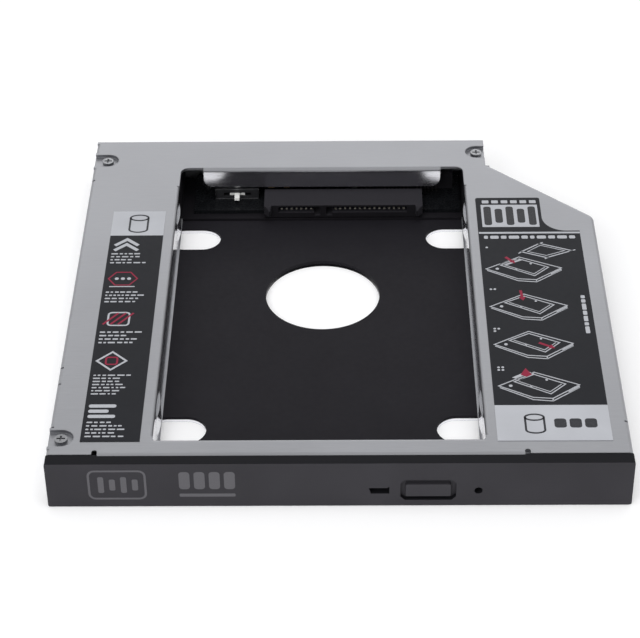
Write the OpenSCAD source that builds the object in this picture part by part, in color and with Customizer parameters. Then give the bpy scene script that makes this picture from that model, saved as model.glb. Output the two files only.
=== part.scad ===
// Laptop drive caddy: a flat metal tray that holds a 2.5 inch drive in a slim optical drive bay.
// The frame: X to the right, Y to the rear, Z up, millimetres, origin under the middle of the base.
// Inside the modules Y is counted from the front edge of the metal case, and place() moves it.

/* [Metal case] */
// Width of the metal case
case_w = 128.4; // [124:0.1:132]
// Depth of the metal case, without the bezel
case_d = 126.1; // [122:0.5:132]
// Height of the metal case
case_h = 12.6; // [12:0.1:13.5]
// Thickness of the metal sheet
sheet_t = 0.8; // [0.7:0.05:0.9]
// Inner radius of a fold in the sheet
fold_in_r = 0.1; // [0.1:0.05:0.4]
// Right side of the rear part of the case, from the middle of the case
step_x = 38.3; // [37.9:0.1:39.5]
// Distance from the rear edge to where the slanted edge starts
slant_start_in = 35.6; // [32:0.1:42]
// Radius of the corner between the right side and the slanted edge
wing_r = 3; // [2:0.5:5]
// Distance from the rear edge to where the slanted edge ends
slant_end_in = 12.2; // [12:0.1:14]
// Width of the small step at the end of the slanted edge
slant_step_w = 1.05; // [0.5:0.05:2]
// Height of the underside of the right wing over the base
wing_base_h = 6.2; // [5:0.1:7]
// Height of the lips that stand up from the tray's floor
tray_lip_h = 3; // [2:0.1:3.2]
// Gap between the frame's walls and the tray inside them
case_gap = 0.15; // [0.1:0.05:0.3]
// Height of the lower edges of the frame's walls over the base
wall_foot_h = 0.3; // [0.2:0.05:0.6]
// Width of the small cuts in the folded side edges
relief_w = 0.5; // [0.3:0.05:0.8]
// How far those cuts reach down
relief_h = 1.6; // [1.2:0.1:2.5]
// Places of the cuts in the left side
left_reliefs = [9.2, 24.4, 30.3];
// Distance from the last cut in the left side to the rear edge
rear_relief_in = 18.3; // [15:0.1:22]
// Places of the cuts in the right side
right_reliefs = [10.6];
// Cut at each front corner of the case
front_cut = 0.6; // [0.3:0.1:1]

/* [Front lip] */
// Distance from the left side to the front lip
lip_left_in = 11.2; // [9:0.1:13]
// Distance from the right side to the front lip
lip_right_in = 23.6; // [21:0.1:26]
// How far the front lip stands before the front edge
lip_out = 0.4; // [0.3:0.05:0.8]
// Width of the relief notch at each end of the front lip
lip_notch_w = 1.2; // [0.8:0.05:2]
// Depth of those notches
lip_notch_d = 1.4; // [0.8:0.1:2]

/* [Drive bay] */
// Width of the opening for the drive
bay_w = 73.5; // [72:0.1:75]
// Middle of the bay, from the middle of the case
bay_x = -4.45; // [-5:0.05:-4]
// Front edge of the bay
bay_front_y = 5.1; // [4.5:0.1:6]
// Distance from the bay's rear edge to the rear edge of the case
bay_rear_in = 12.6; // [12.2:0.1:13.2]
// Radius of the rear corners of the bay
bay_rear_r = 2.2; // [1:0.1:3]
// Distance from the rear end of the side flanges to the bay's rear edge
flange_rear_in = 8.5; // [7.6:0.1:9.4]
// Width of the foot along each side flange
foot_w = 0.4; // [0.3:0.05:1.2]
// How far the pressed bumps stand out of the side flanges
bump_out = 0.5; // [0.3:0.05:0.7]
// Radius of the curve of a bump
bump_r = 25; // [15:1:30]
// Height of a bump
bump_h = 5; // [3:0.5:6]
// Width of the rear flange
rear_flange_w = 62; // [56:0.5:66]
// Height of the rear flange's lower edge over the base
rear_flange_z = 7; // [6.8:0.1:9]
// Radius of the rear flange's lower corners
rear_flange_r = 2.5; // [1:0.1:4]
// How far the rear flange stands before the bay's rear edge
rear_flange_out = 0.8; // [0.4:0.1:1.2]
// Width of the front flange
front_flange_w = 73; // [60:0.5:73]

/* [Floor] */
// Thickness of the black sheet on the tray's floor
liner_t = 0.8; // [0.5:0.05:1]
// Middle of the floor's holes, from the middle of the case
floor_cx = -4.1; // [-4.5:0.05:-3.7]
// Diameter of the round hole
round_hole_d = 28.3; // [24:0.1:32]
// Distance from the round hole's middle to the rear slots' middle
round_hole_in = 24.2; // [22:0.1:30]
// Width of the four slots
slot_w = 9.5; // [8:0.1:10.5]
// Length of the four slots
slot_l = 13.9; // [12:0.1:14.2]
// Distance between the inner ends of two slots
slot_inner = 52.9; // [50:0.1:54]
// Place of the two front slots
slot_front_y = 20.9; // [19:0.1:23]
// Distance from the middle of the rear slots to the rear end of the side flanges
slot_rear_in = 8.1; // [6:0.1:10]
// Black sheet left beyond the outer end of a slot
liner_rim = 1.3; // [0.8:0.1:1.4]

/* [Case screws] */
// Front left screw: distance from the left side
screw_a_side = 2.8; // [2.3:0.1:3]
// Front left screw: distance from the front edge
screw_a_front = 5.5; // [4.5:0.1:7]
// Rear left screw: distance from the left side
screw_b_side = 3.5; // [2.4:0.1:3.8]
// Rear left screw: distance from the rear edge
screw_b_rear = 8.9; // [8:0.1:11]
// Rear right screw: distance from the right side of the rear part
screw_c_side = 2.15; // [2.15:0.05:2.4]
// Rear right screw: distance from the rear edge
screw_c_rear = 5.6; // [5.5:0.1:7]
// Radius of the pressed seats
seat_r = 2.8; // [2.4:0.1:3.2]
// Depth of the pressed seats
seat_d = 0.9; // [0.8:0.05:1.4]
// Radius of a screw's head
head_r = 1.45; // [1.3:0.05:1.8]
// Height of a screw's head
head_h = 0.8; // [0.6:0.05:1.2]
// Radius of a screw's shank
shank_r = 0.7; // [0.5:0.05:0.8]
// Radius of a threaded post
post_r = 1.3; // [1.2:0.05:1.35]
// How far a screw reaches below its seat
shank_l = 4; // [2:0.5:6]
// Gap round a screw's shank in its thread
thread_gap = 0.08; // [0.05:0.01:0.12]
// Gap round a screw's shank in its seat
seat_gap = 0.2; // [0.1:0.05:0.3]
// Width of the cross in a screw's head
cross_w = 0.45; // [0.3:0.05:0.6]
// Length of the cross in a screw's head
cross_l = 1.9; // [1.2:0.1:2.2]
// Depth of the cross in a screw's head
cross_d = 0.5; // [0.3:0.05:0.6]

/* [Mounting holes] */
// Radius of a tapped mounting hole
tap_r = 0.8; // [0.7:0.05:0.9]
// Outer radius of the collar behind a tapped hole
collar_r = 1.5; // [1.3:0.1:1.8]
// Length of a tapped hole
tap_l = 2; // [1.6:0.1:2.4]
// Height of the tapped holes over the base
tap_z = 6.4; // [6:0.1:7]
// Place of the tapped hole in the left side
side_tap_y = 27.35; // [26.5:0.05:28]
// Places of the tapped holes in the rear wall
rear_tap_xs = [-52, -44];

/* [Bezel] */
// How far the bezel stands out at each side of the case
bezel_over = 0.1; // [0:0.05:0.5]
// Depth of the bezel, before the front edge of the case
bezel_d = 3.2; // [2.8:0.1:4]
// Height of the bezel's lower edge over the base
bezel_z = 0.2; // [0.1:0.05:0.5]
// Height of the bezel
bezel_h = 12.3; // [11.5:0.1:13]
// Radius of the bezel's long edges at its ends
bezel_r = 0.5; // [0.4:0.1:1.5]
// Thickness of the bezel's front wall
bezel_wall = 1.1; // [0.9:0.05:1.3]
// Gap between the bezel and the metal
bezel_gap = 0.05; // [0.03:0.01:0.1]
// Middle of the eject button
button_x = 19.5; // [17:0.1:22]
// Height of the middle of the recess round the button
button_z = 4.7; // [4.2:0.1:5.2]
// Width of the recess round the button
button_hole_w = 12.2; // [11:0.1:13]
// Height of the recess round the button
button_hole_h = 5.8; // [5:0.1:6.2]
// Width of the button's cap
button_w = 9.9; // [8:0.1:10.5]
// Height of the button's cap
button_h = 3.4; // [2.8:0.1:4]
// How far the cap sits below the middle of its recess
button_drop = 0.2; // [0:0.05:0.3]
// Travel of the eject button
button_travel = 0.6; // [0.4:0.05:0.7]
// Middle of the lamp slot
lamp_x = 8.7; // [7:0.1:10]
// Width of the lamp slot
lamp_w = 4.5; // [3:0.1:5]
// Height of the lamp slot
lamp_h = 1.6; // [1.2:0.1:2]
// Place of the emergency hole
pin_hole_x = 30.5; // [28:0.1:33]
// Radius of the emergency hole
pin_hole_r = 0.9; // [0.6:0.05:1.1]
// Places of the snap hooks, from the middle of the case
hook_xs = [-45, -8, 33];
// Width of a snap hook
hook_w = 4; // [3:0.1:5]
// Thickness of a snap hook
hook_t = 0.9; // [0.7:0.05:1.1]
// Height of the snap hooks over the base
hook_z = 8.7; // [8:0.1:9]
// Height of the barb on a snap hook
barb_h = 0.5; // [0.3:0.05:0.7]

/* [Circuit board] */
// Thickness of the black carrier under the board
carrier_t = 1.4; // [1.2:0.05:1.6]
// Thickness of the carrier's side cheeks
cheek_t = 1.2; // [0.8:0.1:1.5]
// Thickness of the circuit board
pcb_t = 1; // [0.8:0.1:1.2]
// Gap between the left cheek and the circuit board
pcb_left_in = 3.2; // [2.5:0.1:4]
// Gap between the right cheek and the circuit board
pcb_right_in = 0.5; // [0.3:0.1:1]
// Distance from the circuit board's front edge to the bay's rear edge
pcb_front_in = 6; // [4.5:0.1:6.5]
// Gap between the board and the rear wall
pcb_rear_gap = 1; // [0.5:0.1:2]
// Places of the two board screws, from the left end and the front edge of the board
board_screws_at = [[3.2, 12.5], [42, 11]];
// Places of the capacitors, from the left end and the front edge of the board
capacitors_at = [[20, 11], [24, 11], [30, 12.5]];
// Places of the resistors, from the left end and the front edge of the board
resistors_at = [[19, 8], [20, 14], [22, 14], [24, 14], [35, 10]];
// Radius of a board screw's head
board_head_r = 1.5; // [1.2:0.1:1.8]
// Height of a board screw's head
board_head_h = 0.7; // [0.5:0.05:0.9]

/* [Drive connector] */
// Distance between two contacts
pitch = 1.27; // [1.2:0.01:1.3]
// Place of the first signal contact
signal_x = -14.9; // [-15.5:0.1:-14]
// Number of signal contacts
signal_n = 7; // [5:1:7]
// Number of power contacts
power_n = 15; // [10:1:15]
// Distance from the last signal contact to the first power contact, in pitches
key_pitches = 5; // [5:1:6]
// Length of the housing beyond the outer contacts, on the left
housing_left = 4.6; // [4.4:0.1:5]
// Length of the housing beyond the outer contacts, on the right
housing_right = 4.9; // [4.6:0.1:5.2]
// Distance from the front face of the housing to the bay's rear edge
housing_in = 8.3; // [8:0.1:8.6]
// Depth of the housing
housing_d = 7.6; // [7:0.1:8]
// Height of the housing's underside over the base
housing_z = 2.5; // [1.7:0.05:2.6]
// Height of the housing's top over the base
housing_top = 6.2; // [6:0.05:6.5]
// Height of the slots for the drive's contact strips
strip_slot_h = 1.7; // [1.4:0.1:1.9]
// Depth of those slots
strip_slot_d = 5; // [4:0.1:5.5]
// Wall over those slots
strip_roof = 0.55; // [0.4:0.05:0.7]
// Width of the key at the inner end of a slot
key_w = 1.6; // [1.2:0.1:1.8]
// How far the key reaches below the slot
key_h = 0.9; // [0.6:0.1:1.1]
// Width of the guide post at each end of the housing
ear_w = 1.9; // [1.5:0.1:2.2]
// How far the guide posts stand before the housing
ear_out = 1.6; // [1:0.1:2]
// Height of the guide posts' undersides over the housing's underside
ear_lift = 1.2; // [0.6:0.1:1.6]
// Slope on top of a guide post's front end
ear_slope = 0.8; // [0.3:0.1:0.9]
// Width of a contact
contact_w = 0.5; // [0.4:0.05:0.6]
// Thickness of a contact
contact_t = 0.3; // [0.2:0.05:0.4]
// Length of a contact's foot on the board
contact_foot = 1.2; // [0.8:0.1:1.6]
// Gap round a contact in its housing
contact_gap = 0.05; // [0.03:0.01:0.08]

/* [Host connector] */
// Middle of the host connector
host_x = 19; // [16:0.5:20]
// Width of the host connector
host_w = 22; // [21:0.5:24]
// Height of the host connector
host_h = 4.6; // [4.2:0.1:5]
// Depth of the host connector
host_d = 8.6; // [8:0.1:9]
// Wall of the host connector's shroud
host_wall = 0.7; // [0.5:0.05:0.9]
// Number of its signal contacts
host_signal_n = 7; // [5:1:7]
// Number of its power contacts
host_power_n = 6; // [4:1:6]
// Distance between its contacts
host_pitch = 1; // [0.9:0.01:1.1]
// Thickness of its tongue
tongue_t = 1.2; // [1:0.05:1.4]

/* [Slide switch] */
// Middle of the slide switch
switch_x = -26.8; // [-28:0.1:-26]
// Distance from the front face of the switch to the bay's rear edge
switch_in = 0.7; // [0.3:0.1:1.2]
// Width of the slide switch
switch_w = 11.5; // [10:0.1:11.5]
// Depth of the slide switch
switch_d = 3.6; // [3.2:0.1:4]
// Height of the slide switch
switch_h = 3.2; // [2.9:0.1:3.4]
// Thickness of the switch's metal cover
cover_t = 0.25; // [0.15:0.05:0.3]
// Width of the lever
lever_w = 1.3; // [1:0.1:1.6]
// How far the lever stands out of the switch
lever_out = 2.4; // [1.6:0.1:2.8]
// Height of the lever
lever_h = 0.8; // [0.6:0.05:0.9]
// Width of the slider behind the lever
slider_w = 4; // [3.4:0.1:4.4]
// Travel of the lever to each side
lever_travel = 1.5; // [1:0.1:2]
// Gap round the slider
slider_gap = 0.1; // [0.08:0.01:0.15]

/* [Labels] */
// Thickness of a label
label_t = 0.1; // [0.08:0.01:0.2]
// Distance from the left side to the left label
left_label_in = 7.1; // [6.4:0.1:8]
// Distance from the left label to the bay
left_label_bay = 2.7; // [1.5:0.1:4]
// Front edge of the left label
left_label_y = 4.2; // [3:0.1:6]
// Length of the black part of the left label
left_label_l = 78.6; // [70:0.1:84]
// Length of the silver part of the left label
left_icon_l = 10.6; // [8:0.1:12]
// Distance from the right side to the right label
right_label_in = 4.1; // [2:0.1:4.2]
// Distance from the right label to the bay
right_label_bay = 2.5; // [1.5:0.1:4]
// Front edge of the right label
right_label_y = 4; // [3:0.1:6]
// Length of the silver part of the right label
drive_label_l = 12.1; // [10:0.1:14]
// Distance from the black part's right corner to the start of the slanted edge
step_label_in = 7.5; // [5:0.1:9]
// Width of the silver line over the black part
tab_gap = 1; // [0.6:0.1:1.5]
// Width of the tab over the right label
tab_w = 16.3; // [14:0.1:18]
// Length of that tab
tab_l = 14.7; // [12:0.1:16]
// Radius of the hollow corner beside the tab
tab_r = 5.8; // [4:0.1:6]
// Radius of the rear corners of the tab
tab_corner_r = 0.6; // [0.3:0.1:1.5]

/* [Hidden] */
$fn = 48;
eps = 0.01;
bezel_w = case_w + 2 * bezel_over;

// Levels and sides of the case
fold_r = sheet_t + fold_in_r;
top_z = case_h;
plate_z = case_h - sheet_t;
x_left = -case_w / 2;
x_right = case_w / 2;
inset = sheet_t + case_gap;
lip_y = -lip_out;
lip_x0 = x_left + lip_left_in;
lip_x1 = x_right - lip_right_in;
tray_y0 = lip_y + inset;
rear_y1 = case_d - sheet_t;
origin_y = -(case_d - bezel_d) / 2;

// The slanted edge: its ends, its direction and the arc before it
wing_d = case_d - slant_start_in;
slant_end_d = case_d - slant_end_in;
slant_x = step_x + slant_step_w;
arc_steps = 6;
slant_a = atan2(x_right - slant_x, slant_end_d - wing_d);
arc_y = wing_d - wing_r * tan(slant_a / 2);
arc_x = x_right - wing_r;

// The bay and its flanges
bay_l = bay_x - bay_w / 2;
bay_r = bay_x + bay_w / 2;
bay_rear_y = case_d - bay_rear_in;
flange_rear_y = bay_rear_y - flange_rear_in;
floor_z = sheet_t + liner_t;
flange_y0 = bay_front_y + fold_r;
rear_face_y = bay_rear_y - rear_flange_out;
slot_rear_y = flange_rear_y - slot_rear_in;
slot_ys = [slot_front_y, slot_rear_y];
round_hole_y = slot_rear_y - round_hole_in;
liner_x0 = floor_cx - slot_inner / 2 - slot_l - liner_rim;
liner_x1 = step_x - inset;
carrier_y0 = flange_rear_y + case_gap;
bump_z = (floor_z + plate_z) / 2;

// The case screws: each one's place, and the side that its seat is open to
seat_z = top_z - seat_d;
seat_reach = 5;
post_z1 = seat_z - sheet_t;
case_screw_spots = [
    [x_left + screw_a_side, screw_a_front, -1],
    [x_left + screw_b_side, case_d - screw_b_rear, -1],
    [step_x - screw_c_side, case_d - screw_c_rear, 1]
];

// The circuit board
pcb_z = sheet_t + carrier_t;
pcb_top = pcb_z + pcb_t;
pcb_left_x = bay_l + pcb_left_in;
pcb_right_x = bay_r - pcb_right_in;
pcb_y1 = rear_y1 - pcb_rear_gap;
pcb_front_y = bay_rear_y - pcb_front_in;
board_shank_gap = 0.1;
board_shank_l = pcb_t + carrier_t - board_shank_gap;
capacitor = [1.6, 0.8, 0.8];
resistor = [1, 0.5, 0.35];

// The drive connector
signal_x1 = signal_x + (signal_n - 1) * pitch;
power_x = signal_x1 + key_pitches * pitch;
power_x1 = power_x + (power_n - 1) * pitch;
housing_x0 = signal_x - housing_left;
housing_x1 = power_x1 + housing_right;
housing_y = bay_rear_y - housing_in;
housing_y1 = housing_y + housing_d;
housing_wall_y = housing_y + strip_slot_d;
housing_back = 1;
housing_notch_y = housing_wall_y + housing_back;
strip_z1 = housing_top - strip_roof;
strip_z0 = strip_z1 - strip_slot_h;
strip_end = 0.9;
key_reach = 2.4;
contact_z = (strip_z0 + strip_z1) / 2;
blade_in = 0.2;
ear_z = housing_z + ear_lift;

// The host connector
host_rear_in = 0.2;
host_y1 = case_d - host_rear_in;
host_y0 = host_y1 - host_d;
host_back = 2;
host_z = pcb_top + host_h / 2;
host_key = 1.5;
host_x0 = host_x - ((host_signal_n + host_power_n - 1) * host_pitch + host_key) / 2;
host_x2 = host_x0 + host_signal_n * host_pitch + host_key;
host_contact_z = host_z + tongue_t / 2;
host_contact_w = 0.45;
host_contact_t = 0.15;
tongue_end = 0.8;

// The slide switch
switch_y = bay_rear_y - switch_in;
switch_base_h = switch_h - cover_t;
switch_z = pcb_top + switch_base_h / 2;
switch_front = 0.4;
slider_d = 1.8;
slider_room = slider_w / 2 + lever_travel + slider_gap;
slider_y = switch_y + switch_front + slider_gap;
terminal_pitch = 2.5;

// The bezel
bezel_y = -bezel_d;
wall_y = bezel_y + bezel_wall;
lip_clear_y = lip_y - bezel_gap;
bezel_rim = 0.8;
button_lap = 0.6;
button_gap = 0.1;
button_face_in = 0.1;
lamp_depth = 1.9;
lamp_wall = 0.6;
pin_boss = 0.7;
hook_y1 = 2.2;

// The labels
black_label_y1 = left_label_y + left_label_l;
right_black_y = right_label_y + drive_label_l;
right_black_y1 = wing_d - step_label_in;
left_label_x0 = x_left + left_label_in;
left_label_x1 = bay_l - left_label_bay;
right_label_x0 = bay_r + right_label_bay;
right_label_x1 = x_right - right_label_in;
tab_y1 = right_black_y1 + tab_gap + tab_l;

// Moves a piece from the case's front edge to the middle of the base
module place() {
    translate([0, origin_y, 0]) children();
}

// A box from its lowest and highest corners
module span(a, b) {
    translate(a) cube(b - a);
}

// A flat rectangle from its lowest and highest corners
module span2(a, b) {
    translate(a) square(b - a);
}

// Points of the slanted right edge, moved in by e
function wing_edge(e) = concat(
    [for (i = [0:arc_steps])
        [arc_x, arc_y] + (wing_r - e) * [cos(slant_a * i / arc_steps), sin(slant_a * i / arc_steps)]],
    [[slant_x, slant_end_d] - e * [cos(slant_a), sin(slant_a)]]
);

// Section of a folded edge: the outer face on Y, the sheet's top at zero, a leg of length drop
module fold_section(drop) {
    difference() {
        intersection() {
            translate([fold_r, -fold_r]) circle(fold_r);
            translate([0, -fold_r]) square(fold_r);
        }
        translate([fold_r, -fold_r]) circle(fold_in_r);
    }
    translate([0, -drop]) square([sheet_t, drop - fold_r + eps]);
}

// A folded edge from p to q, with the sheet on its left side
module folded_side(p, q, drop) {
    v = q - p;
    translate([p.x, p.y, top_z])
        rotate([0, 0, atan2(v.y, v.x)])
            rotate([90, 0, 90])
                linear_extrude(norm(v))
                    fold_section(drop);
}

// A pressed bump on a side flange, towards side s
module bump(y, s) {
    face = s > 0 ? bay_l : bay_r;
    intersection() {
        translate([face - s * (bump_r - bump_out), y, bump_z - bump_h / 2])
            cylinder(r = bump_r, h = bump_h, $fn = 96);
        span([min(face - s * eps, face + s * bump_out), y - bump_r, 0],
             [max(face - s * eps, face + s * bump_out), y + bump_r, top_z]);
    }
}

// The bay's opening in the top sheet, with room for the folds along it
module bay_opening() {
    span2([bay_l, bay_front_y], [bay_r, bay_rear_y - bay_rear_r]);
    span2([bay_l + bay_rear_r, bay_front_y], [bay_r - bay_rear_r, bay_rear_y]);
    for (x = [bay_l + bay_rear_r, bay_r - bay_rear_r])
        translate([x, bay_rear_y - bay_rear_r]) circle(bay_rear_r);
    span2([bay_l - fold_r, flange_y0], [bay_r + fold_r, flange_rear_y]);
    span2([bay_x - front_flange_w / 2, bay_front_y - fold_r], [bay_x + front_flange_w / 2, flange_y0]);
    span2([bay_x - rear_flange_w / 2, bay_front_y],
          [bay_x + rear_flange_w / 2, rear_face_y + fold_r]);
}

// A relief notch with a round end, its middle at x
module lip_notch(x) {
    r = lip_notch_w / 2;
    span2([x - r, -1], [x + r, lip_notch_d - r]);
    translate([x, lip_notch_d - r]) circle(r);
}

// Outline of the top sheet between its folds
module top_outline() {
    difference() {
        polygon(concat(
            [[x_left + fold_r, 0], [x_right - fold_r, 0]],
            wing_edge(fold_r),
            [[slant_x, slant_end_d], [step_x, slant_end_d], [step_x, case_d], [x_left, case_d],
             [x_left, case_d - inset], [x_left + fold_r, case_d - inset]]
        ));
        span2([lip_x0, -1], [lip_x1, lip_y + fold_r]);
        for (x = [lip_x0 - lip_notch_w / 2, lip_x1 + lip_notch_w / 2]) lip_notch(x);
    }
}

// The whole plan of the case, up to its outer faces
module case_plan() {
    polygon(concat([[x_left, 0], [x_right, 0]], wing_edge(0),
                   [[step_x, slant_end_d], [step_x, case_d], [x_left, case_d]]));
}

// The folded outer walls of the frame
module outer_folds() {
    rear_drop = top_z - wall_foot_h;
    wing_drop = top_z - wing_base_h;
    folded_side([x_left, case_d - inset], [x_left, 0], rear_drop);
    folded_side([lip_x0, lip_y], [lip_x1, lip_y], rear_drop);
    folded_side([x_right, 0], [x_right, arc_y], wing_drop);
    folded_side([arc_x, arc_y] + wing_r * [cos(slant_a), sin(slant_a)], [slant_x, slant_end_d], wing_drop);
    translate([arc_x, arc_y, top_z])
        rotate_extrude(angle = slant_a)
            translate([wing_r, 0]) mirror([1, 0]) fold_section(wing_drop);
}

// The polished flanges round the bay
module bay_flanges() {
    drop = top_z - floor_z;
    folded_side([bay_l, flange_y0], [bay_l, flange_rear_y], drop);
    folded_side([bay_r, flange_rear_y], [bay_r, flange_y0], drop);
    folded_side([bay_x + front_flange_w / 2, bay_front_y], [bay_x - front_flange_w / 2, bay_front_y], drop);
    span([bay_l - eps, flange_y0, floor_z], [bay_l + foot_w, flange_rear_y, floor_z + sheet_t]);
    span([bay_r - foot_w, flange_y0, floor_z], [bay_r + eps, flange_rear_y, floor_z + sheet_t]);
    for (y = slot_ys, s = [-1, 1]) bump(y, s);
    rear_flange();
}

// The rear flange, with round lower corners
module rear_flange() {
    x0 = bay_x - rear_flange_w / 2;
    x1 = bay_x + rear_flange_w / 2;
    intersection() {
        folded_side([x0, rear_face_y], [x1, rear_face_y], top_z - rear_flange_z);
        translate([0, case_d, 0]) rotate([90, 0, 0]) linear_extrude(case_d) union() {
            span2([x0, rear_flange_z + rear_flange_r], [x1, top_z + 1]);
            span2([x0 + rear_flange_r, rear_flange_z], [x1 - rear_flange_r, top_z]);
            for (x = [x0 + rear_flange_r, x1 - rear_flange_r])
                translate([x, rear_flange_z + rear_flange_r]) circle(rear_flange_r);
        }
    }
}

// A tapped collar of length tap_l: solid part, from the face at z = 0 inwards
module collar() {
    cylinder(r = collar_r, h = tap_l);
}

// The hole of a tapped collar, open at both ends
module tapped_hole() {
    translate([0, 0, -1]) cylinder(r = tap_r, h = tap_l + 2);
}

// Puts its children on the left side's tapped hole
module at_side_tap() {
    translate([x_left, side_tap_y, tap_z]) rotate([0, 90, 0]) children();
}

// Puts its children on each of the rear wall's tapped holes
module at_rear_taps() {
    for (x = rear_tap_xs) translate([x, case_d, tap_z]) rotate([90, 0, 0]) children();
}

// A small cut across a folded side edge, from x0 to x1
module relief_cut(x0, x1, y) {
    span([x0, y - relief_w / 2, top_z - relief_h], [x1, y + relief_w / 2, top_z + 1]);
}

// Plan of a screw's seat, open to side s of the case
module seat_plan(r, s) {
    circle(r);
    span2([min(0, s * seat_reach), -r], [max(0, s * seat_reach), r]);
}

// A cut at a front corner of the case, towards side s from x
module corner_cut(x, s) {
    linear_extrude(top_z + 1) polygon([
        [x - s, -1], [x + s * (front_cut + 1), -1], [x - s, front_cut + 1]
    ]);
}

// Folded sheet metal frame
module top_frame() {
    color([0.65, 0.65, 0.66]) place() difference() {
        union() {
            translate([0, 0, plate_z]) linear_extrude(sheet_t) difference() {
                top_outline();
                bay_opening();
            }
            outer_folds();
            bay_flanges();
            intersection() {
                for (p = case_screw_spots)
                    translate([p.x, p.y, post_z1])
                        linear_extrude(top_z - post_z1) seat_plan(seat_r + sheet_t, p.z);
                linear_extrude(top_z) case_plan();
            }
            at_side_tap() collar();
        }
        for (p = case_screw_spots) {
            translate([p.x, p.y, seat_z]) linear_extrude(seat_d + 1) seat_plan(seat_r, p.z);
            translate([p.x, p.y, 0]) cylinder(r = shank_r + seat_gap, h = top_z);
        }
        at_side_tap() tapped_hole();
        for (y = concat(left_reliefs, [case_d - rear_relief_in]))
            relief_cut(x_left - 1, x_left + fold_r, y);
        for (y = right_reliefs)
            relief_cut(x_right - fold_r, x_right + 1, y);
        corner_cut(x_left, 1);
        corner_cut(x_right, -1);
        for (x = hook_xs)
            span([x - hook_w / 2 - case_gap, lip_y - 1, hook_z - case_gap],
                 [x + hook_w / 2 + case_gap, tray_y0, hook_z + hook_t + barb_h + case_gap]);
        translate([pin_hole_x, lip_y - 1, button_z - button_drop])
            rotate([-90, 0, 0]) cylinder(r = pin_hole_r + case_gap, h = bay_front_y + 2);
    }
}

// One slot with round ends, along X from its middle
module slot_shape(l, w) {
    square([l - w, w], center = true);
    for (s = [-1, 1]) translate([s * (l - w) / 2, 0]) circle(d = w);
}

// The floor's round hole and its four slots
module floor_holes() {
    translate([floor_cx, round_hole_y]) circle(d = round_hole_d, $fn = 96);
    for (s = [-1, 1], y = slot_ys)
        translate([floor_cx + s * (slot_inner + slot_l) / 2, y]) slot_shape(slot_l, slot_w);
}

// Metal tray under the frame, stepped up under the right wing
module bottom_tray() {
    edge = wing_edge(inset);
    wing_end = edge[len(edge) - 1];
    color([0.62, 0.62, 0.63]) place() difference() {
        union() {
            linear_extrude(sheet_t) difference() {
                span2([x_left + inset, tray_y0], [step_x, case_d]);
                floor_holes();
            }
            span([x_left, rear_y1, 0], [step_x, case_d, plate_z]);
            span([step_x - sheet_t, tray_y0, 0], [step_x, case_d, wing_base_h + sheet_t]);
            span([step_x - sheet_t, slant_end_d, 0], [step_x, case_d, plate_z]);
            span([x_left + inset, tray_y0, 0], [x_left + inset + sheet_t, rear_y1, tray_lip_h]);
            span([x_left + inset, tray_y0, 0], [step_x, tray_y0 + sheet_t, tray_lip_h]);
            translate([0, 0, wing_base_h]) linear_extrude(sheet_t) polygon(concat(
                [[step_x - sheet_t, tray_y0], [x_right - inset, tray_y0]], edge,
                [[step_x - sheet_t, wing_end.y]]
            ));
            span([step_x - sheet_t, tray_y0, wing_base_h], [x_right - inset, tray_y0 + sheet_t, plate_z]);
            at_rear_taps() collar();
        }
        for (p = case_screw_spots) {
            translate([p.x, p.y, post_z1 - case_gap])
                linear_extrude(top_z) seat_plan(seat_r + sheet_t + case_gap, p.z);
            translate([p.x, p.y, sheet_t]) cylinder(r = post_r + case_gap / 2, h = post_z1 - sheet_t);
        }
        at_rear_taps() tapped_hole();
        span([host_x - host_w / 2 - case_gap, rear_y1 - 1, pcb_top - case_gap],
             [host_x + host_w / 2 + case_gap, case_d + 1, pcb_top + host_h + case_gap]);
    }
}

// Black sheet on the tray's floor
module floor_liner() {
    color([0.15, 0.15, 0.16]) place() translate([0, 0, sheet_t]) linear_extrude(liner_t) difference() {
        span2([liner_x0, bay_front_y - sheet_t], [liner_x1, carrier_y0 - case_gap]);
        floor_holes();
    }
}

// Black plastic carrier under the circuit board, with a cheek at each side of the bay
module board_carrier() {
    color([0.13, 0.13, 0.14]) place() difference() {
        union() {
            span([bay_l - cheek_t, carrier_y0, sheet_t], [bay_r + cheek_t, pcb_y1, pcb_z]);
            span([bay_l - cheek_t, carrier_y0, sheet_t], [bay_l, pcb_y1, plate_z]);
            span([bay_r, carrier_y0, sheet_t], [bay_r + cheek_t, pcb_y1, plate_z]);
        }
        span([housing_x0 - case_gap, carrier_y0 - 1, housing_z - case_gap],
             [housing_x1 + case_gap, housing_notch_y + case_gap, pcb_z + 1]);
        for (p = board_screws_at)
            translate([pcb_left_x + p.x, pcb_front_y + p.y, 0])
                cylinder(r = post_r + case_gap, h = pcb_z + 1);
        for (p = case_screw_spots)
            translate([p.x, p.y, 0]) cylinder(r = post_r + case_gap, h = top_z);
        translate([case_screw_spots[2].x, case_screw_spots[2].y, post_z1 - case_gap])
            cylinder(r = seat_r + sheet_t + case_gap, h = top_z);
    }
}

// Snap hook: an arm along Y with a barb on top of its end
module snap_hook(x) {
    translate([x - hook_w / 2, 0, 0]) rotate([90, 0, 90]) linear_extrude(hook_w) polygon([
        [wall_y - eps, hook_z], [hook_y1, hook_z], [hook_y1, hook_z + hook_t],
        [lip_y + inset, hook_z + hook_t + barb_h], [lip_y + inset, hook_z + hook_t],
        [wall_y - eps, hook_z + hook_t]
    ]);
}

// Section of the bezel, seen from the front, with the wall e away from its outer faces
module bezel_section(e, r) {
    translate([0, bezel_z + bezel_h / 2]) {
        w = bezel_w - 2 * e;
        h = bezel_h - 2 * e;
        square([w - 2 * r, h], center = true);
        square([w, h - 2 * r], center = true);
        for (sx = [-1, 1], sz = [-1, 1])
            translate([sx * (w / 2 - r), sz * (h / 2 - r)]) circle(r);
    }
}

// Extrudes a front view along Y, from y0 to y1
module front_solid(y0, y1) {
    translate([0, y1, 0]) rotate([90, 0, 0]) linear_extrude(y1 - y0) children();
}

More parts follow.
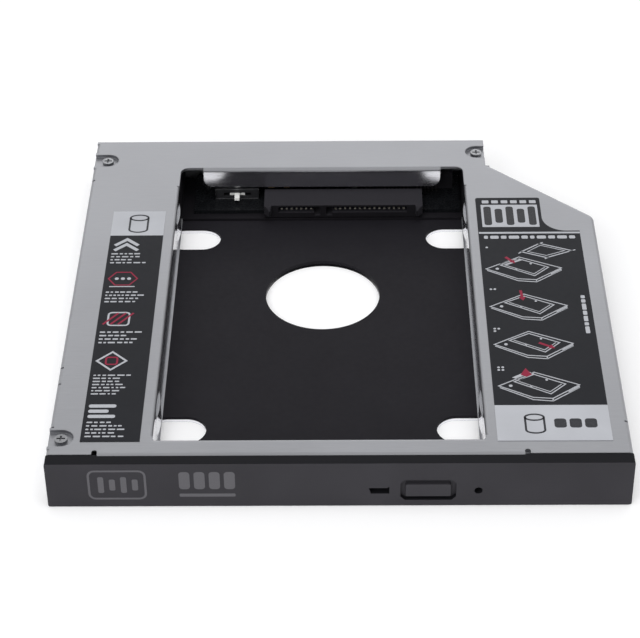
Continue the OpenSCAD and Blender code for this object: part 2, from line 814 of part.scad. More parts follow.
// A rectangle in front view with cut corners
module cut_corner_rect(w, h, c) {
    polygon([
        [-w / 2 + c, -h / 2], [w / 2 - c, -h / 2], [w / 2, -h / 2 + c], [w / 2, h / 2 - c],
        [w / 2 - c, h / 2], [-w / 2 + c, h / 2], [-w / 2, h / 2 - c], [-w / 2, -h / 2 + c]
    ]);
}

// Outline of the lamp slot: slanted at its left end, with a small notch at its right end
module lamp_slot() {
    slant = 0.5;
    notch = 0.35;
    translate([lamp_x - lamp_w / 2, button_z - button_drop - lamp_h / 2]) polygon([
        [slant, 0], [lamp_w, 0], [lamp_w, lamp_h + notch], [lamp_w - notch, lamp_h + notch],
        [lamp_w - notch, lamp_h], [0, lamp_h]
    ]);
}

// Black plastic bezel with snap hooks
module bezel() {
    button_cut = 1;
    mid_z = button_z - button_drop;
    color([0.17, 0.17, 0.18]) place() difference() {
        union() {
            difference() {
                front_solid(bezel_y, -bezel_gap) bezel_section(0, bezel_r);
                front_solid(wall_y, 1) bezel_section(bezel_rim, bezel_gap);
                span([lip_x0 - case_gap, lip_clear_y, 0], [lip_x1 + case_gap, 1, top_z + 1]);
            }
            front_solid(wall_y - eps, lip_clear_y) translate([lamp_x, mid_z])
                square([lamp_w + 2 * lamp_wall, lamp_h + 3 * lamp_wall], center = true);
            front_solid(wall_y - eps, lip_clear_y) translate([pin_hole_x, mid_z])
                circle(pin_hole_r + pin_boss);
            for (x = hook_xs) snap_hook(x);
        }
        front_solid(bezel_y - 1, wall_y + eps) translate([button_x, button_z])
            cut_corner_rect(button_hole_w, button_hole_h, button_cut);
        front_solid(bezel_y - 1, bezel_y + lamp_depth) lamp_slot();
        translate([pin_hole_x, 1, mid_z]) rotate([90, 0, 0]) cylinder(r = pin_hole_r, h = bezel_d + 2);
    }
}

// Eject button: a cap in front of a flange that keeps it in the bezel
module eject_button() {
    flange_y0 = wall_y + button_gap;
    flange_y1 = lip_y - button_gap - button_travel;
    cap_cut = 0.25;
    color([0.2, 0.2, 0.21]) place() union() {
        front_solid(bezel_y + button_face_in, flange_y0 + eps) translate([button_x, button_z - button_drop])
            cut_corner_rect(button_w, button_h, cap_cut);
        front_solid(flange_y0, flange_y1) translate([button_x, button_z])
            square([button_hole_w + 2 * button_lap, button_hole_h + 2 * button_lap], center = true);
    }
}

// Screw with a flat round head and a cross, its seat at z = 0
module cross_screw(r, h, l) {
    difference() {
        union() {
            cylinder(r = r, h = h);
            translate([0, 0, -l]) cylinder(r = shank_r, h = l + eps);
        }
        for (a = [0, 90]) rotate([0, 0, a])
            translate([0, 0, h - cross_d / 2 + eps]) cube([cross_l, cross_w, cross_d + eps], center = true);
    }
}

// Threaded post from z = 0, with a bore for a screw
module post(h) {
    difference() {
        cylinder(r = post_r, h = h);
        translate([0, 0, -1]) cylinder(r = shank_r + thread_gap, h = h + 2);
    }
}

// Threaded posts under the case screws
module case_posts() {
    color([0.75, 0.75, 0.76]) place()
        for (p = case_screw_spots) translate([p.x, p.y, sheet_t]) post(post_z1 - sheet_t);
}

// Screws in the top of the case
module case_screws() {
    color([0.7, 0.7, 0.71]) place()
        for (p = case_screw_spots)
            translate([p.x, p.y, seat_z]) cross_screw(head_r, head_h, shank_l + sheet_t);
}

// Green board with a notch for the drive connector
module circuit_board() {
    color([0.05, 0.2, 0.13]) place() difference() {
        span([pcb_left_x, pcb_front_y, pcb_z], [pcb_right_x, pcb_y1, pcb_top]);
        span([housing_x0 - case_gap, pcb_front_y - 1, 0],
             [housing_x1 + case_gap, housing_notch_y + case_gap, top_z]);
        for (p = board_screws_at)
            translate([pcb_left_x + p.x, pcb_front_y + p.y, 0]) cylinder(r = shank_r + seat_gap, h = top_z);
    }
}

// Threaded posts under the circuit board
module board_posts() {
    color([0.75, 0.75, 0.76]) place()
        for (p = board_screws_at)
            translate([pcb_left_x + p.x, pcb_front_y + p.y, sheet_t]) post(carrier_t);
}

// Screws that hold the circuit board
module board_screws() {
    color([0.7, 0.7, 0.71]) place()
        for (p = board_screws_at)
            translate([pcb_left_x + p.x, pcb_front_y + p.y, pcb_top])
                cross_screw(board_head_r, board_head_h, board_shank_l);
}

// One contact: a blade along Y, its drop behind the housing and its foot on the board
module contact(x, w, t, z, y0, y1, s) {
    drop_y = y1 + s * contact_gap;
    translate([x - w / 2, 0, 0]) {
        span([0, min(y0, drop_y + s * t), z], [w, max(y0, drop_y + s * t), z + t]);
        span([0, min(drop_y, drop_y + s * t), pcb_top], [w, max(drop_y, drop_y + s * t), z + t]);
        span([0, min(drop_y, drop_y + s * contact_foot), pcb_top],
             [w, max(drop_y, drop_y + s * contact_foot), pcb_top + t]);
    }
}

// One contact of the drive connector
module drive_contact(x) {
    contact(x, contact_w, contact_t, contact_z, housing_y + blade_in, housing_y1, 1);
}

// Window in a housing for one contact
module contact_window(x, w, t, z, y0, y1) {
    span([x - w / 2 - contact_gap, y0, z - contact_gap],
         [x + w / 2 + contact_gap, y1, z + t + contact_gap]);
}

// Window for one contact of the drive connector
module drive_window(x) {
    contact_window(x, contact_w, contact_t, contact_z, housing_wall_y - 1, housing_y1 + 1);
}

// A guide post in front of the left end of the drive connector's housing
module guide_post() {
    tip_w = 0.3;
    intersection() {
        linear_extrude(housing_top) polygon([
            [0, eps], [0, -tip_w], [ear_w - 2 * tip_w, -ear_out], [ear_w - tip_w, -ear_out],
            [ear_w, eps]
        ]);
        rotate([90, 0, 90]) linear_extrude(ear_w) polygon([
            [eps, ear_z], [-ear_out, ear_z], [-ear_out, housing_top - ear_slope],
            [ear_slope - ear_out, housing_top], [eps, housing_top]
        ]);
    }
}

// Housing of the drive connector, with two key-shaped slots and a guide post at each end
module drive_connector() {
    color([0.14, 0.14, 0.15]) place() difference() {
        union() {
            span([housing_x0, housing_y, housing_z], [housing_x1, housing_notch_y, housing_top]);
            span([housing_x0, housing_notch_y - eps, pcb_top], [housing_x1, housing_y1, housing_top]);
            translate([housing_x0, housing_y, 0]) guide_post();
            translate([housing_x1, housing_y, 0]) mirror([1, 0, 0]) guide_post();
        }
        span([signal_x - strip_end, housing_y - 1, strip_z0],
             [signal_x1 + key_reach, housing_wall_y, strip_z1]);
        span([signal_x1 + key_reach - key_w, housing_y - 1, strip_z0 - key_h],
             [signal_x1 + key_reach, housing_wall_y, strip_z1]);
        span([power_x - key_reach, housing_y - 1, strip_z0],
             [power_x1 + strip_end, housing_wall_y, strip_z1]);
        span([power_x - key_reach, housing_y - 1, strip_z0 - key_h],
             [power_x - key_reach + key_w, housing_wall_y, strip_z1]);
        for (i = [0:signal_n - 1]) drive_window(signal_x + i * pitch);
        for (i = [0:power_n - 1]) drive_window(power_x + i * pitch);
    }
}

// Signal contacts of the drive connector
module signal_contacts() {
    color([0.8, 0.75, 0.55]) place()
        for (i = [0:signal_n - 1]) drive_contact(signal_x + i * pitch);
}

// Power contacts of the drive connector
module power_contacts() {
    color([0.8, 0.75, 0.55]) place()
        for (i = [0:power_n - 1]) drive_contact(power_x + i * pitch);
}

// One contact of the host connector
module host_contact(x) {
    contact(x, host_contact_w, host_contact_t, host_contact_z, host_y1 - tongue_end, host_y0, -1);
}

// Window for one contact of the host connector
module host_window(x) {
    contact_window(x, host_contact_w, host_contact_t, host_contact_z, host_y0 - 1, host_y0 + host_back);
}

// Host connector: a shroud open to the rear, with a tongue in it
module host_connector() {
    x0 = host_x - host_w / 2;
    x1 = host_x + host_w / 2;
    color([0.12, 0.12, 0.13]) place() difference() {
        union() {
            difference() {
                span([x0, host_y0, pcb_top], [x1, host_y1, pcb_top + host_h]);
                span([x0 + host_wall, host_y0 + host_back, pcb_top + host_wall],
                     [x1 - host_wall, host_y1 + 1, pcb_top + host_h - host_wall]);
            }
            span([x0 + host_wall + tongue_end, host_y0 + host_back - eps, host_z - tongue_t / 2],
                 [x1 - host_wall - tongue_end, host_y1 - tongue_end, host_z + tongue_t / 2]);
        }
        for (i = [0:host_signal_n - 1]) host_window(host_x0 + i * host_pitch);
        for (i = [0:host_power_n - 1]) host_window(host_x2 + i * host_pitch);
    }
}

// Signal contacts of the host connector
module host_signal_contacts() {
    color([0.8, 0.75, 0.55]) place()
        for (i = [0:host_signal_n - 1]) host_contact(host_x0 + i * host_pitch);
}

// Power contacts of the host connector
module host_power_contacts() {
    color([0.8, 0.75, 0.55]) place()
        for (i = [0:host_power_n - 1]) host_contact(host_x2 + i * host_pitch);
}

// Black base of the slide switch, with room for the slider
module switch_base() {
    room_h = lever_h + 4 * slider_gap;
    window_h = lever_h + 2 * slider_gap;
    w = switch_w / 2 - cover_t;
    color([0.1, 0.1, 0.11]) place() difference() {
        span([switch_x - w, switch_y, pcb_top],
             [switch_x + w, switch_y + switch_d, pcb_top + switch_base_h]);
        span([switch_x - slider_room, switch_y + switch_front, switch_z - room_h / 2 - slider_gap],
             [switch_x + slider_room, switch_y + switch_front + slider_d + 2 * slider_gap,
              switch_z + room_h / 2 + slider_gap]);
        span([switch_x - slider_room, switch_y - 1, switch_z - window_h / 2],
             [switch_x + slider_room, switch_y + switch_front + eps, switch_z + window_h / 2]);
    }
}

// Metal cover of the slide switch
module switch_case() {
    front_strip = 0.35;
    x0 = switch_x - switch_w / 2;
    x1 = switch_x + switch_w / 2;
    y0 = switch_y - cover_t;
    y1 = switch_y + switch_d;
    color([0.6, 0.6, 0.61]) place() {
        span([x0, switch_y, pcb_top + switch_base_h], [x1, y1, pcb_top + switch_h]);
        span([x0, y0, pcb_top], [x0 + cover_t, y1, pcb_top + switch_h]);
        span([x1 - cover_t, y0, pcb_top], [x1, y1, pcb_top + switch_h]);
        span([x0, y0, pcb_top], [x1, switch_y, pcb_top + front_strip]);
    }
}

// White lever of the slide switch, with its slider
module switch_lever() {
    slider_h = lever_h + 4 * slider_gap;
    color([0.93, 0.93, 0.92]) place() {
        span([switch_x - slider_w / 2, slider_y, switch_z - slider_h / 2],
             [switch_x + slider_w / 2, slider_y + slider_d, switch_z + slider_h / 2]);
        span([switch_x - lever_w / 2, switch_y - lever_out, switch_z - lever_h / 2],
             [switch_x + lever_w / 2, slider_y + eps, switch_z + lever_h / 2]);
    }
}

// Terminals behind the slide switch
module switch_terminals() {
    w = 0.5;
    t = 0.2;
    l = 1;
    color([0.75, 0.75, 0.76]) place()
        for (i = [-1.5:1:1.5])
            span([switch_x + i * terminal_pitch - w / 2, switch_y + switch_d, pcb_top],
                 [switch_x + i * terminal_pitch + w / 2, switch_y + switch_d + l, pcb_top + t]);
}

// Small blocks on the board
module board_blocks(spots, size) {
    for (p = spots)
        translate([pcb_left_x + p.x - size.x / 2, pcb_front_y + p.y - size.y / 2, pcb_top]) cube(size);
}

// Capacitors on the board
module capacitors() {
    color([0.6, 0.5, 0.35]) place() board_blocks(capacitors_at, capacitor);
}

// Resistors on the board
module resistors() {
    color([0.08, 0.08, 0.08]) place() board_blocks(resistors_at, resistor);
}

// Black part of the left label
module warning_label() {
    color([0.18, 0.18, 0.2]) place() span(
        [left_label_x0, left_label_y, top_z], [left_label_x1, black_label_y1, top_z + label_t]);
}

// Silver part of the left label
module drive_icon_label() {
    color([0.72, 0.73, 0.75]) place() span(
        [left_label_x0, black_label_y1, top_z],
        [left_label_x1, black_label_y1 + left_icon_l, top_z + label_t]);
}

// Black part of the right label, with a tab at its rear and a hollow corner beside it
module step_label() {
    x0 = right_label_x0;
    x1 = right_label_x1;
    tab_x1 = x0 + tab_w;
    tab_y = right_black_y1 + tab_gap;
    color([0.18, 0.18, 0.2]) place() translate([0, 0, top_z]) linear_extrude(label_t) {
        span2([x0, right_black_y], [x1, tab_y]);
        span2([x0, tab_y - eps], [tab_x1, tab_y1 - tab_corner_r]);
        span2([x0 + tab_corner_r, tab_y], [tab_x1 - tab_corner_r, tab_y1]);
        for (x = [x0 + tab_corner_r, tab_x1 - tab_corner_r])
            translate([x, tab_y1 - tab_corner_r]) circle(tab_corner_r);
        difference() {
            span2([tab_x1 - eps, tab_y - eps], [tab_x1 + tab_r, tab_y + tab_r]);
            translate([tab_x1 + tab_r, tab_y + tab_r]) circle(tab_r);
        }
    }
}

// Silver part of the right label
module drive_label() {
    color([0.72, 0.73, 0.75]) place() span(
        [right_label_x0, right_label_y, top_z],
        [right_label_x1, right_black_y, top_z + label_t]);
}

top_frame();
bottom_tray();
floor_liner();
board_carrier();
bezel();
eject_button();
case_posts();
case_screws();
circuit_board();
board_posts();
board_screws();
drive_connector();
signal_contacts();
power_contacts();
host_connector();
host_signal_contacts();
host_power_contacts();
switch_base();
switch_case();
switch_lever();
switch_terminals();
capacitors();
resistors();
warning_label();
drive_icon_label();
step_label();
drive_label();
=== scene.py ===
"""Dresses the laptop drive caddy: finishes for its CAD pieces, its print, and the studio."""

import logging
import math
import random
from collections.abc import Sequence
from dataclasses import dataclass, field
from enum import Enum

import bmesh
import bpy
from mathutils import Matrix, Vector


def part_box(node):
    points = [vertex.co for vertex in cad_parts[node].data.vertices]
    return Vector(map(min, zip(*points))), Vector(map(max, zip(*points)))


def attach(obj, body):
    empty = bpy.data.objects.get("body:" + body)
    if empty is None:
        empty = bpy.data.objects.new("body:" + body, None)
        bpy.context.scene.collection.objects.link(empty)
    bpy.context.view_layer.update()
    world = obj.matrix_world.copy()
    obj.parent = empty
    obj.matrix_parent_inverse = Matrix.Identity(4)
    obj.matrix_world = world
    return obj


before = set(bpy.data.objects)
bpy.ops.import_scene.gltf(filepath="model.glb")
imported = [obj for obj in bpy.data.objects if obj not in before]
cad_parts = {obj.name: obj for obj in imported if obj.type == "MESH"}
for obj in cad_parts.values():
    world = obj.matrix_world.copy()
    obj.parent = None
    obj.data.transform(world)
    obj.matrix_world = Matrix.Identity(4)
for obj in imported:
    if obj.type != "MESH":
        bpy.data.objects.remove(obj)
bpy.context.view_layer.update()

LOG = logging.getLogger("caddy")
MM = 0.001

Point = tuple[float, float]
Colour = tuple[float, float, float, float]
WHITE: Colour = (1.0, 1.0, 1.0, 1.0)


class Ride(Enum):
    """Bodies of the frame that a piece can move with."""

    CASE = "case"
    BUTTON = "eject_button"
    LEVER = "switch_lever"


class Slot(Enum):
    """Material slots of the record that the printed pieces lie on."""

    BLACK_LABEL = "label_black"
    SILVER_LABEL = "label_silver"
    BEZEL = "bezel_plastic"


def paint(red: int, green: int, blue: int) -> Colour:
    """Turn a display colour of 0 to 255 into the linear colour that a shader takes.

    Args:
        red: Display value of red.
        green: Display value of green.
        blue: Display value of blue.

    Returns:
        The linear colour with full alpha.
    """
    def linear(value: int) -> float:
        """Undo the display curve for one channel."""
        share = value / 255
        return share / 12.92 if share <= 0.04045 else ((share + 0.055) / 1.055) ** 2.4

    return linear(red), linear(green), linear(blue), 1.0


def shade(colour: Colour, factor: float) -> Colour:
    """Return the colour made darker or lighter by a factor, with the same alpha."""
    return colour[0] * factor, colour[1] * factor, colour[2] * factor, colour[3]


def arc(middle: Point, reach: Point, start: float, end: float, steps: int = 16) -> list[Point]:
    """Return points along an ellipse's arc.

    Args:
        middle: Middle of the ellipse.
        reach: Its half width and half depth.
        start: Angle of the first point in degrees.
        end: Angle of the last point in degrees.
        steps: Number of steps between them.

    Returns:
        The points, in order.
    """
    turns = (math.radians(start + (end - start) * i / steps) for i in range(steps + 1))
    return [(middle[0] + reach[0] * math.cos(a), middle[1] + reach[1] * math.sin(a))
            for a in turns]


def rounded(x: float, y: float, width: float, depth: float, radius: float) -> list[Point]:
    """Return the outline of a rectangle with round corners, anticlockwise.

    Args:
        x: Left side.
        y: Lower side.
        width: Width.
        depth: Depth.
        radius: Radius of the corners, less than half of the shorter side.

    Returns:
        The points, in order.
    """
    points: list[Point] = []
    for right, upper, start in ((width - radius, radius, -90), (width - radius, depth - radius, 0),
                                (radius, depth - radius, 90), (radius, radius, 180)):
        points += arc((x + right, y + upper), (radius, radius), start, start + 90, 4)
    return points


def beside(points: Sequence[Point], distance: float, closed: bool) -> list[Point]:
    """Return a path moved to its own left by a distance, with mitred corners.

    Args:
        points: Points of the path.
        distance: How far to move it.
        closed: Whether the last point joins the first one.

    Returns:
        The points of the moved path.
    """
    count = len(points)
    moved = []
    for i, here in enumerate(points):
        joints = []
        if closed or i > 0:
            joints.append((points[i - 1], here))
        if closed or i < count - 1:
            joints.append((here, points[(i + 1) % count]))
        sides = []
        for start, end in joints:
            length = math.dist(start, end)
            sides.append(((start[1] - end[1]) / length, (end[0] - start[0]) / length))
        first, last = sides[0], sides[-1]
        share = distance / (1 + first[0] * last[0] + first[1] * last[1])
        moved.append((here[0] + (first[0] + last[0]) * share,
                      here[1] + (first[1] + last[1]) * share))
    return moved


@dataclass
class InkPen:
    """Prints flat shapes as one thin layer of ink, in millimetres from a face's corner."""

    corner: Vector
    along: tuple[float, float, float] = (0.0, 1.0, 0.0)
    lift: float = 0.02
    sunk: float = 0.01
    row_share: Point = (0.55, 1.0)
    bar_length: Point = (0.45, 1.7)
    bar_gap: Point = (0.3, 0.5)
    shapes: list[tuple[list[Point], list[Point]]] = field(default_factory=list)

    def area(self, points: Sequence[Point]) -> None:
        """Add a filled shape whose corners run anticlockwise."""
        self.shapes.append((list(points), []))

    def bar(self, x: float, y: float, width: float, depth: float, radius: float = 0.12) -> None:
        """Add a filled bar with round corners from its lower left corner.

        Args:
            x: Left side.
            y: Lower side.
            width: Width.
            depth: Depth.
            radius: Radius of the corners.
        """
        self.area(rounded(x, y, width, depth, min(radius, 0.45 * width, 0.45 * depth)))

    def pip(self, x: float, y: float, radius: float) -> None:
        """Add a filled round pip at a place."""
        self.area(arc((x, y), (radius, radius), 0, 345, 23))

    def ring(self, points: Sequence[Point], width: float) -> None:
        """Add a closed outline along corners that run anticlockwise."""
        self.shapes.append((beside(points, -width / 2, True), beside(points, width / 2, True)))

    def line(self, points: Sequence[Point], width: float) -> None:
        """Add a line along a path with open ends."""
        self.area(beside(points, -width / 2, False) + beside(points, width / 2, False)[::-1])

    def arrow(self, tail: Point, tip: Point, width: float, head: float) -> None:
        """Add an arrow.

        Args:
            tail: Start of the shaft.
            tip: Point of the arrow.
            width: Width of the shaft.
            head: Width and length of the head.
        """
        length = math.dist(tail, tip)
        ahead = ((tip[0] - tail[0]) / length, (tip[1] - tail[1]) / length)
        neck = (tip[0] - ahead[0] * head, tip[1] - ahead[1] * head)
        spread, overlap = head * 0.6, 0.1
        side = (-ahead[1] * spread, ahead[0] * spread)
        self.line([tail, (neck[0] + ahead[0] * overlap, neck[1] + ahead[1] * overlap)], width)
        self.area([tip, (neck[0] + side[0], neck[1] + side[1]),
                   (neck[0] - side[0], neck[1] - side[1])])

    def small_rows(self, chance: random.Random, left: float, low: float, high: float,
                   count: int, room: float) -> None:
        """Fill a block with rows of short bars.

        Args:
            chance: Source of the bars' lengths.
            left: Left side of the block.
            low: Lower side of the block.
            high: Upper side of the block.
            count: Number of rows.
            room: Longest row.
        """
        pitch = (high - low) / count
        for row in range(count):
            x, end = left, left + room * chance.uniform(*self.row_share)
            while x < end:
                length = chance.uniform(*self.bar_length)
                self.bar(x, low + pitch * (row + 0.3), length, pitch * 0.38, 0.1)
                x += length + chance.uniform(*self.bar_gap)

    def build(self, name: str, material: bpy.types.Material, slot: Slot,
              body: Ride = Ride.CASE) -> None:
        """Make the layer of ink from the shapes.

        Args:
            name: Name of the piece.
            material: Its ink.
            slot: Not used.
            body: Body that it rides on.
        """
        across, along = Vector((1.0, 0.0, 0.0)), Vector(self.along)
        outwards = across.cross(along)
        layer = bmesh.new()

        def level(points: Sequence[Point], height: float) -> list[bmesh.types.BMVert]:
            """Put points into the mesh at a height over the face."""
            return [layer.verts.new(self.corner + (across * x + along * y + outwards * height)
                                    * MM) for x, y in points]

        for outer, inner in self.shapes:
            low, high = level(outer, -self.sunk), level(outer, self.lift)
            low_in, high_in = level(inner, -self.sunk), level(inner, self.lift)
            if not inner:
                layer.faces.new(high)
                layer.faces.new(low[::-1])
            for i in range(len(outer)):
                j = (i + 1) % len(outer)
                layer.faces.new((low[i], low[j], high[j], high[i]))
                if inner:
                    layer.faces.new((low_in[j], low_in[i], high_in[i], high_in[j]))
                    layer.faces.new((high[i], high[j], high_in[j], high_in[i]))
                    layer.faces.new((low[j], low[i], low_in[i], low_in[j]))
        mesh = bpy.data.meshes.new(name)
        layer.to_mesh(mesh)
        layer.free()
        mesh.materials.append(material)
        piece = bpy.data.objects.new(name, mesh)
        bpy.context.scene.collection.objects.link(piece)
        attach(piece, body.value)
        LOG.info("%s has %d faces in %s", name, len(mesh.polygons), material.name)


class NodeGraph:
    """Node tree of one material, with short ways to add, set and join its nodes."""

    def __init__(self, name: str) -> None:
        """Start a material whose output is one principled shader.

        Args:
            name: Name of the material.
        """
        self.material = bpy.data.materials.new(name)
        self.material.use_nodes = True
        self.tree = self.material.node_tree
        self.tree.nodes.clear()
        self.shader = self.add("ShaderNodeBsdfPrincipled")
        self.output = self.add("ShaderNodeOutputMaterial")
        self.join(self.shader, "BSDF", self.output, "Surface")
        self.place = self.add("ShaderNodeTexCoord")

    def add(self, kind: str, **settings: object) -> bpy.types.Node:
        """Add a node and set its own fields.

        Args:
            kind: Blender's name of the node type.
            **settings: Fields of the node.

        Returns:
            The new node.
        """
        node = self.tree.nodes.new(kind)
        for key, value in settings.items():
            setattr(node, key, value)
        return node

    def join(self, source: bpy.types.Node, output: str | int,
             target: bpy.types.Node, entry: str | int) -> None:
        """Link an output of one node to an input of another.

        Args:
            source: Node that gives the value.
            output: Name or number of its output.
            target: Node that takes the value.
            entry: Name or number of its input.
        """
        self.tree.links.new(source.outputs[output], target.inputs[entry])

    def stretched(self, scale: Sequence[float]) -> bpy.types.Node:
        """Add a mapping of the object's own coordinates.

        Args:
            scale: Factor along each axis.

        Returns:
            The mapping node, which gives the coordinates times the scale.
        """
        mapping = self.add("ShaderNodeMapping")
        mapping.inputs["Scale"].default_value = scale
        self.join(self.place, "Object", mapping, "Vector")
        return mapping

    def noise(self, scale: float, detail: float, rough: float = 0.5,
              stretch: Sequence[float] = (1.0, 1.0, 1.0)) -> bpy.types.Node:
        """Add a noise over the object's own coordinates.

        Args:
            scale: Cells per metre.
            detail: Octaves.
            rough: Weight of the finer octaves.
            stretch: Extra scale along each axis.

        Returns:
            The noise node, whose first output is the value.
        """
        node = self.add("ShaderNodeTexNoise")
        node.inputs["Scale"].default_value = scale
        node.inputs["Detail"].default_value = detail
        node.inputs["Roughness"].default_value = rough
        self.join(self.stretched(stretch), "Vector", node, "Vector")
        return node

    def span(self, source: bpy.types.Node, output: str | int, low: float, high: float,
             to_low: float = 0.0, to_high: float = 1.0) -> bpy.types.Node:
        """Map a value's range onto another range, held at both ends.

        Args:
            source: Node that gives the value.
            output: Name or number of its output.
            low: Value that becomes to_low.
            high: Value that becomes to_high.
            to_low: Result at low.
            to_high: Result at high.

        Returns:
            The range node, whose first output is the result.
        """
        node = self.add("ShaderNodeMapRange", clamp=True)
        for name, value in (("From Min", low), ("From Max", high),
                            ("To Min", to_low), ("To Max", to_high)):
            node.inputs[name].default_value = value
        self.join(source, output, node, "Value")
        return node

    def maths(self, kind: str, first: tuple[bpy.types.Node, str | int],
              second: tuple[bpy.types.Node, str | int] | float) -> bpy.types.Node:
        """Add a math node over one value and another value or number.

        Args:
            kind: Operation, such as ADD or MULTIPLY.
            first: Node and output of the first value.
            second: Node and output of the second value, or a number.

        Returns:
            The math node.
        """
        node = self.add("ShaderNodeMath", operation=kind)
        self.join(first[0], first[1], node, 0)
        if isinstance(second, tuple):
            self.join(second[0], second[1], node, 1)
        else:
            node.inputs[1].default_value = second
        return node

    def blend(self, share: bpy.types.Node, low: Colour | bpy.types.Node,
              high: Colour | bpy.types.Node) -> bpy.types.Node:
        """Mix two colours by a value.

        Args:
            share: Node whose first output is the share of the second colour.
            low: Colour at 0, or a node that gives it.
            high: Colour at 1, or a node that gives it.

        Returns:
            The mix node, whose output 2 is the colour.
        """
        node = self.add("ShaderNodeMix", data_type="RGBA")
        self.join(share, 0, node, 0)
        for entry, value in ((6, low), (7, high)):
            if isinstance(value, bpy.types.Node):
                self.join(value, 2 if value.bl_idname == "ShaderNodeMix" else 0, node, entry)
            else:
                node.inputs[entry].default_value = value
        return node

    def relief(self, height: bpy.types.Node, output: str | int, strength: float, depth: float,
               edge: float = 0.0) -> None:
        """Turn a height into the shader's normal, over edges that are softly rounded.

        Args:
            height: Node that gives the height.
            output: Name or number of its output.
            strength: Strength of the bump.
            depth: Height in metres that the value 1 stands for.
            edge: Radius of the rounded edges in metres.
        """
        bump = self.add("ShaderNodeBump")
        bump.inputs["Strength"].default_value = strength
        bump.inputs["Distance"].default_value = depth
        self.join(height, output, bump, "Height")
        if edge:
            rounded = self.add("ShaderNodeBevel", samples=4)
            rounded.inputs["Radius"].default_value = edge
            self.join(rounded, "Normal", bump, "Normal")
        self.join(bump, "Normal", self.shader, "Normal")

    def set(self, **values: object) -> None:
        """Set inputs of the principled shader, with _ for a blank in the input's name."""
        for key, value in values.items():
            self.shader.inputs[key.replace("_", " ")].default_value = value


@dataclass(frozen=True)
class RolledSheet:
    """Satin rolled sheet steel, polished on the upright faces drawn inside the bay, with painted
    highlight and shade there.
    """

    tone: Colour = paint(148, 149, 153)
    # Lighter colour of the drawn flanges: a painted highlight, not the steel's own tone.
    painted_highlight: Colour = paint(228, 228, 232)
    satin: float = 0.40
    polish: float = 0.16
    grain: float = 0.00002
    edge: float = 0.00028
    bay_low: Point = (0.0, 0.0)
    bay_high: Point = (0.0, 0.0)
    ceiling: float = 0.0119
    # Darker colour over the middle of the bay's flanges: painted shade, standing in for the dark
    # reflection there.
    painted_shade: Colour | None = None
    painted_shade_low: float = -0.0201
    painted_shade_high: float = 0.0119

    def painted_flange_light(self, graph: NodeGraph) -> Colour | bpy.types.Node:
        """Give the drawn faces' painted highlight, with painted shade over the middle of the bay.

        Args:
            graph: Tree that the nodes go into.

        Returns:
            The colour, or a node that gives it.
        """
        if not self.painted_shade:
            return self.painted_highlight
        place = graph.add("ShaderNodeSeparateXYZ")
        graph.join(graph.place, "Object", place, 0)
        left = graph.span(place, "X", self.painted_shade_low - 0.001, self.painted_shade_low)
        right = graph.span(place, "X", self.painted_shade_high, self.painted_shade_high + 0.001, 1.0, 0.0)
        return graph.blend(graph.maths("MULTIPLY", (left, 0), (right, 0)), self.painted_highlight, self.painted_shade)

    def inside(self, graph: NodeGraph) -> bpy.types.Node:
        """Mark what lies inside the bay and stands upright.

        Args:
            graph: Tree that the nodes go into.

        Returns:
            A node whose first output is 1 on the drawn flanges and 0 elsewhere.
        """
        place = graph.add("ShaderNodeSeparateXYZ")
        graph.join(graph.place, "Object", place, 0)
        soft = 0.0004
        share = None
        for axis, low, high in (("X", self.bay_low[0], self.bay_high[0]),
                                ("Y", self.bay_low[1], self.bay_high[1])):
            for start, end in ((low - soft, low), (high + soft, high)):
                side = graph.span(place, axis, start, end)
                share = graph.maths("MULTIPLY", (share, 0), (side, 0)) if share else side
        under = graph.span(place, "Z", self.ceiling - soft / 2, self.ceiling, 1.0, 0.0)
        share = graph.maths("MULTIPLY", (share, 0), (under, 0))
        facing = graph.add("ShaderNodeSeparateXYZ")
        graph.join(graph.add("ShaderNodeNewGeometry"), "Normal", facing, 0)
        level = graph.maths("ABSOLUTE", (facing, "Z"), 0.0)
        upright = graph.span(level, 0, 0.45, 0.2)
        return graph.maths("MULTIPLY", (share, 0), (upright, 0))

    def material(self, name: str) -> bpy.types.Material:
        """Build the material.

        Args:
            name: Name of the material.

        Returns:
            The finished material.
        """
        graph = NodeGraph(name)
        cloud = graph.noise(28.0, 3.0)
        lines = graph.noise(260.0, 6.0, 0.6, (1.0, 14.0, 6.0))
        both = graph.maths("ADD", (cloud, 0), (lines, 0))
        satin = graph.blend(graph.span(both, 0, 0.7, 1.3), shade(self.tone, 0.93),
                            shade(self.tone, 1.07))
        rough = graph.span(lines, 0, 0.3, 0.7, self.satin - 0.04, self.satin + 0.05)
        if self.bay_high != self.bay_low:
            drawn = self.inside(graph)
            # The drawn flanges get painted highlight and painted shade in their colour; their
            # lower roughness below is the real polish.
            satin = graph.blend(drawn, satin, self.painted_flange_light(graph))
            rough = graph.maths("SUBTRACT", (rough, 0), (graph.span(
                drawn, 0, 0.0, 1.0, 0.0, self.satin - self.polish), 0))
        graph.join(satin, 2, graph.shader, "Base Color")
        graph.join(rough, 0, graph.shader, "Roughness")
        graph.set(Metallic=1.0)
        graph.relief(lines, 0, 0.25, self.grain, self.edge)
        return graph.material


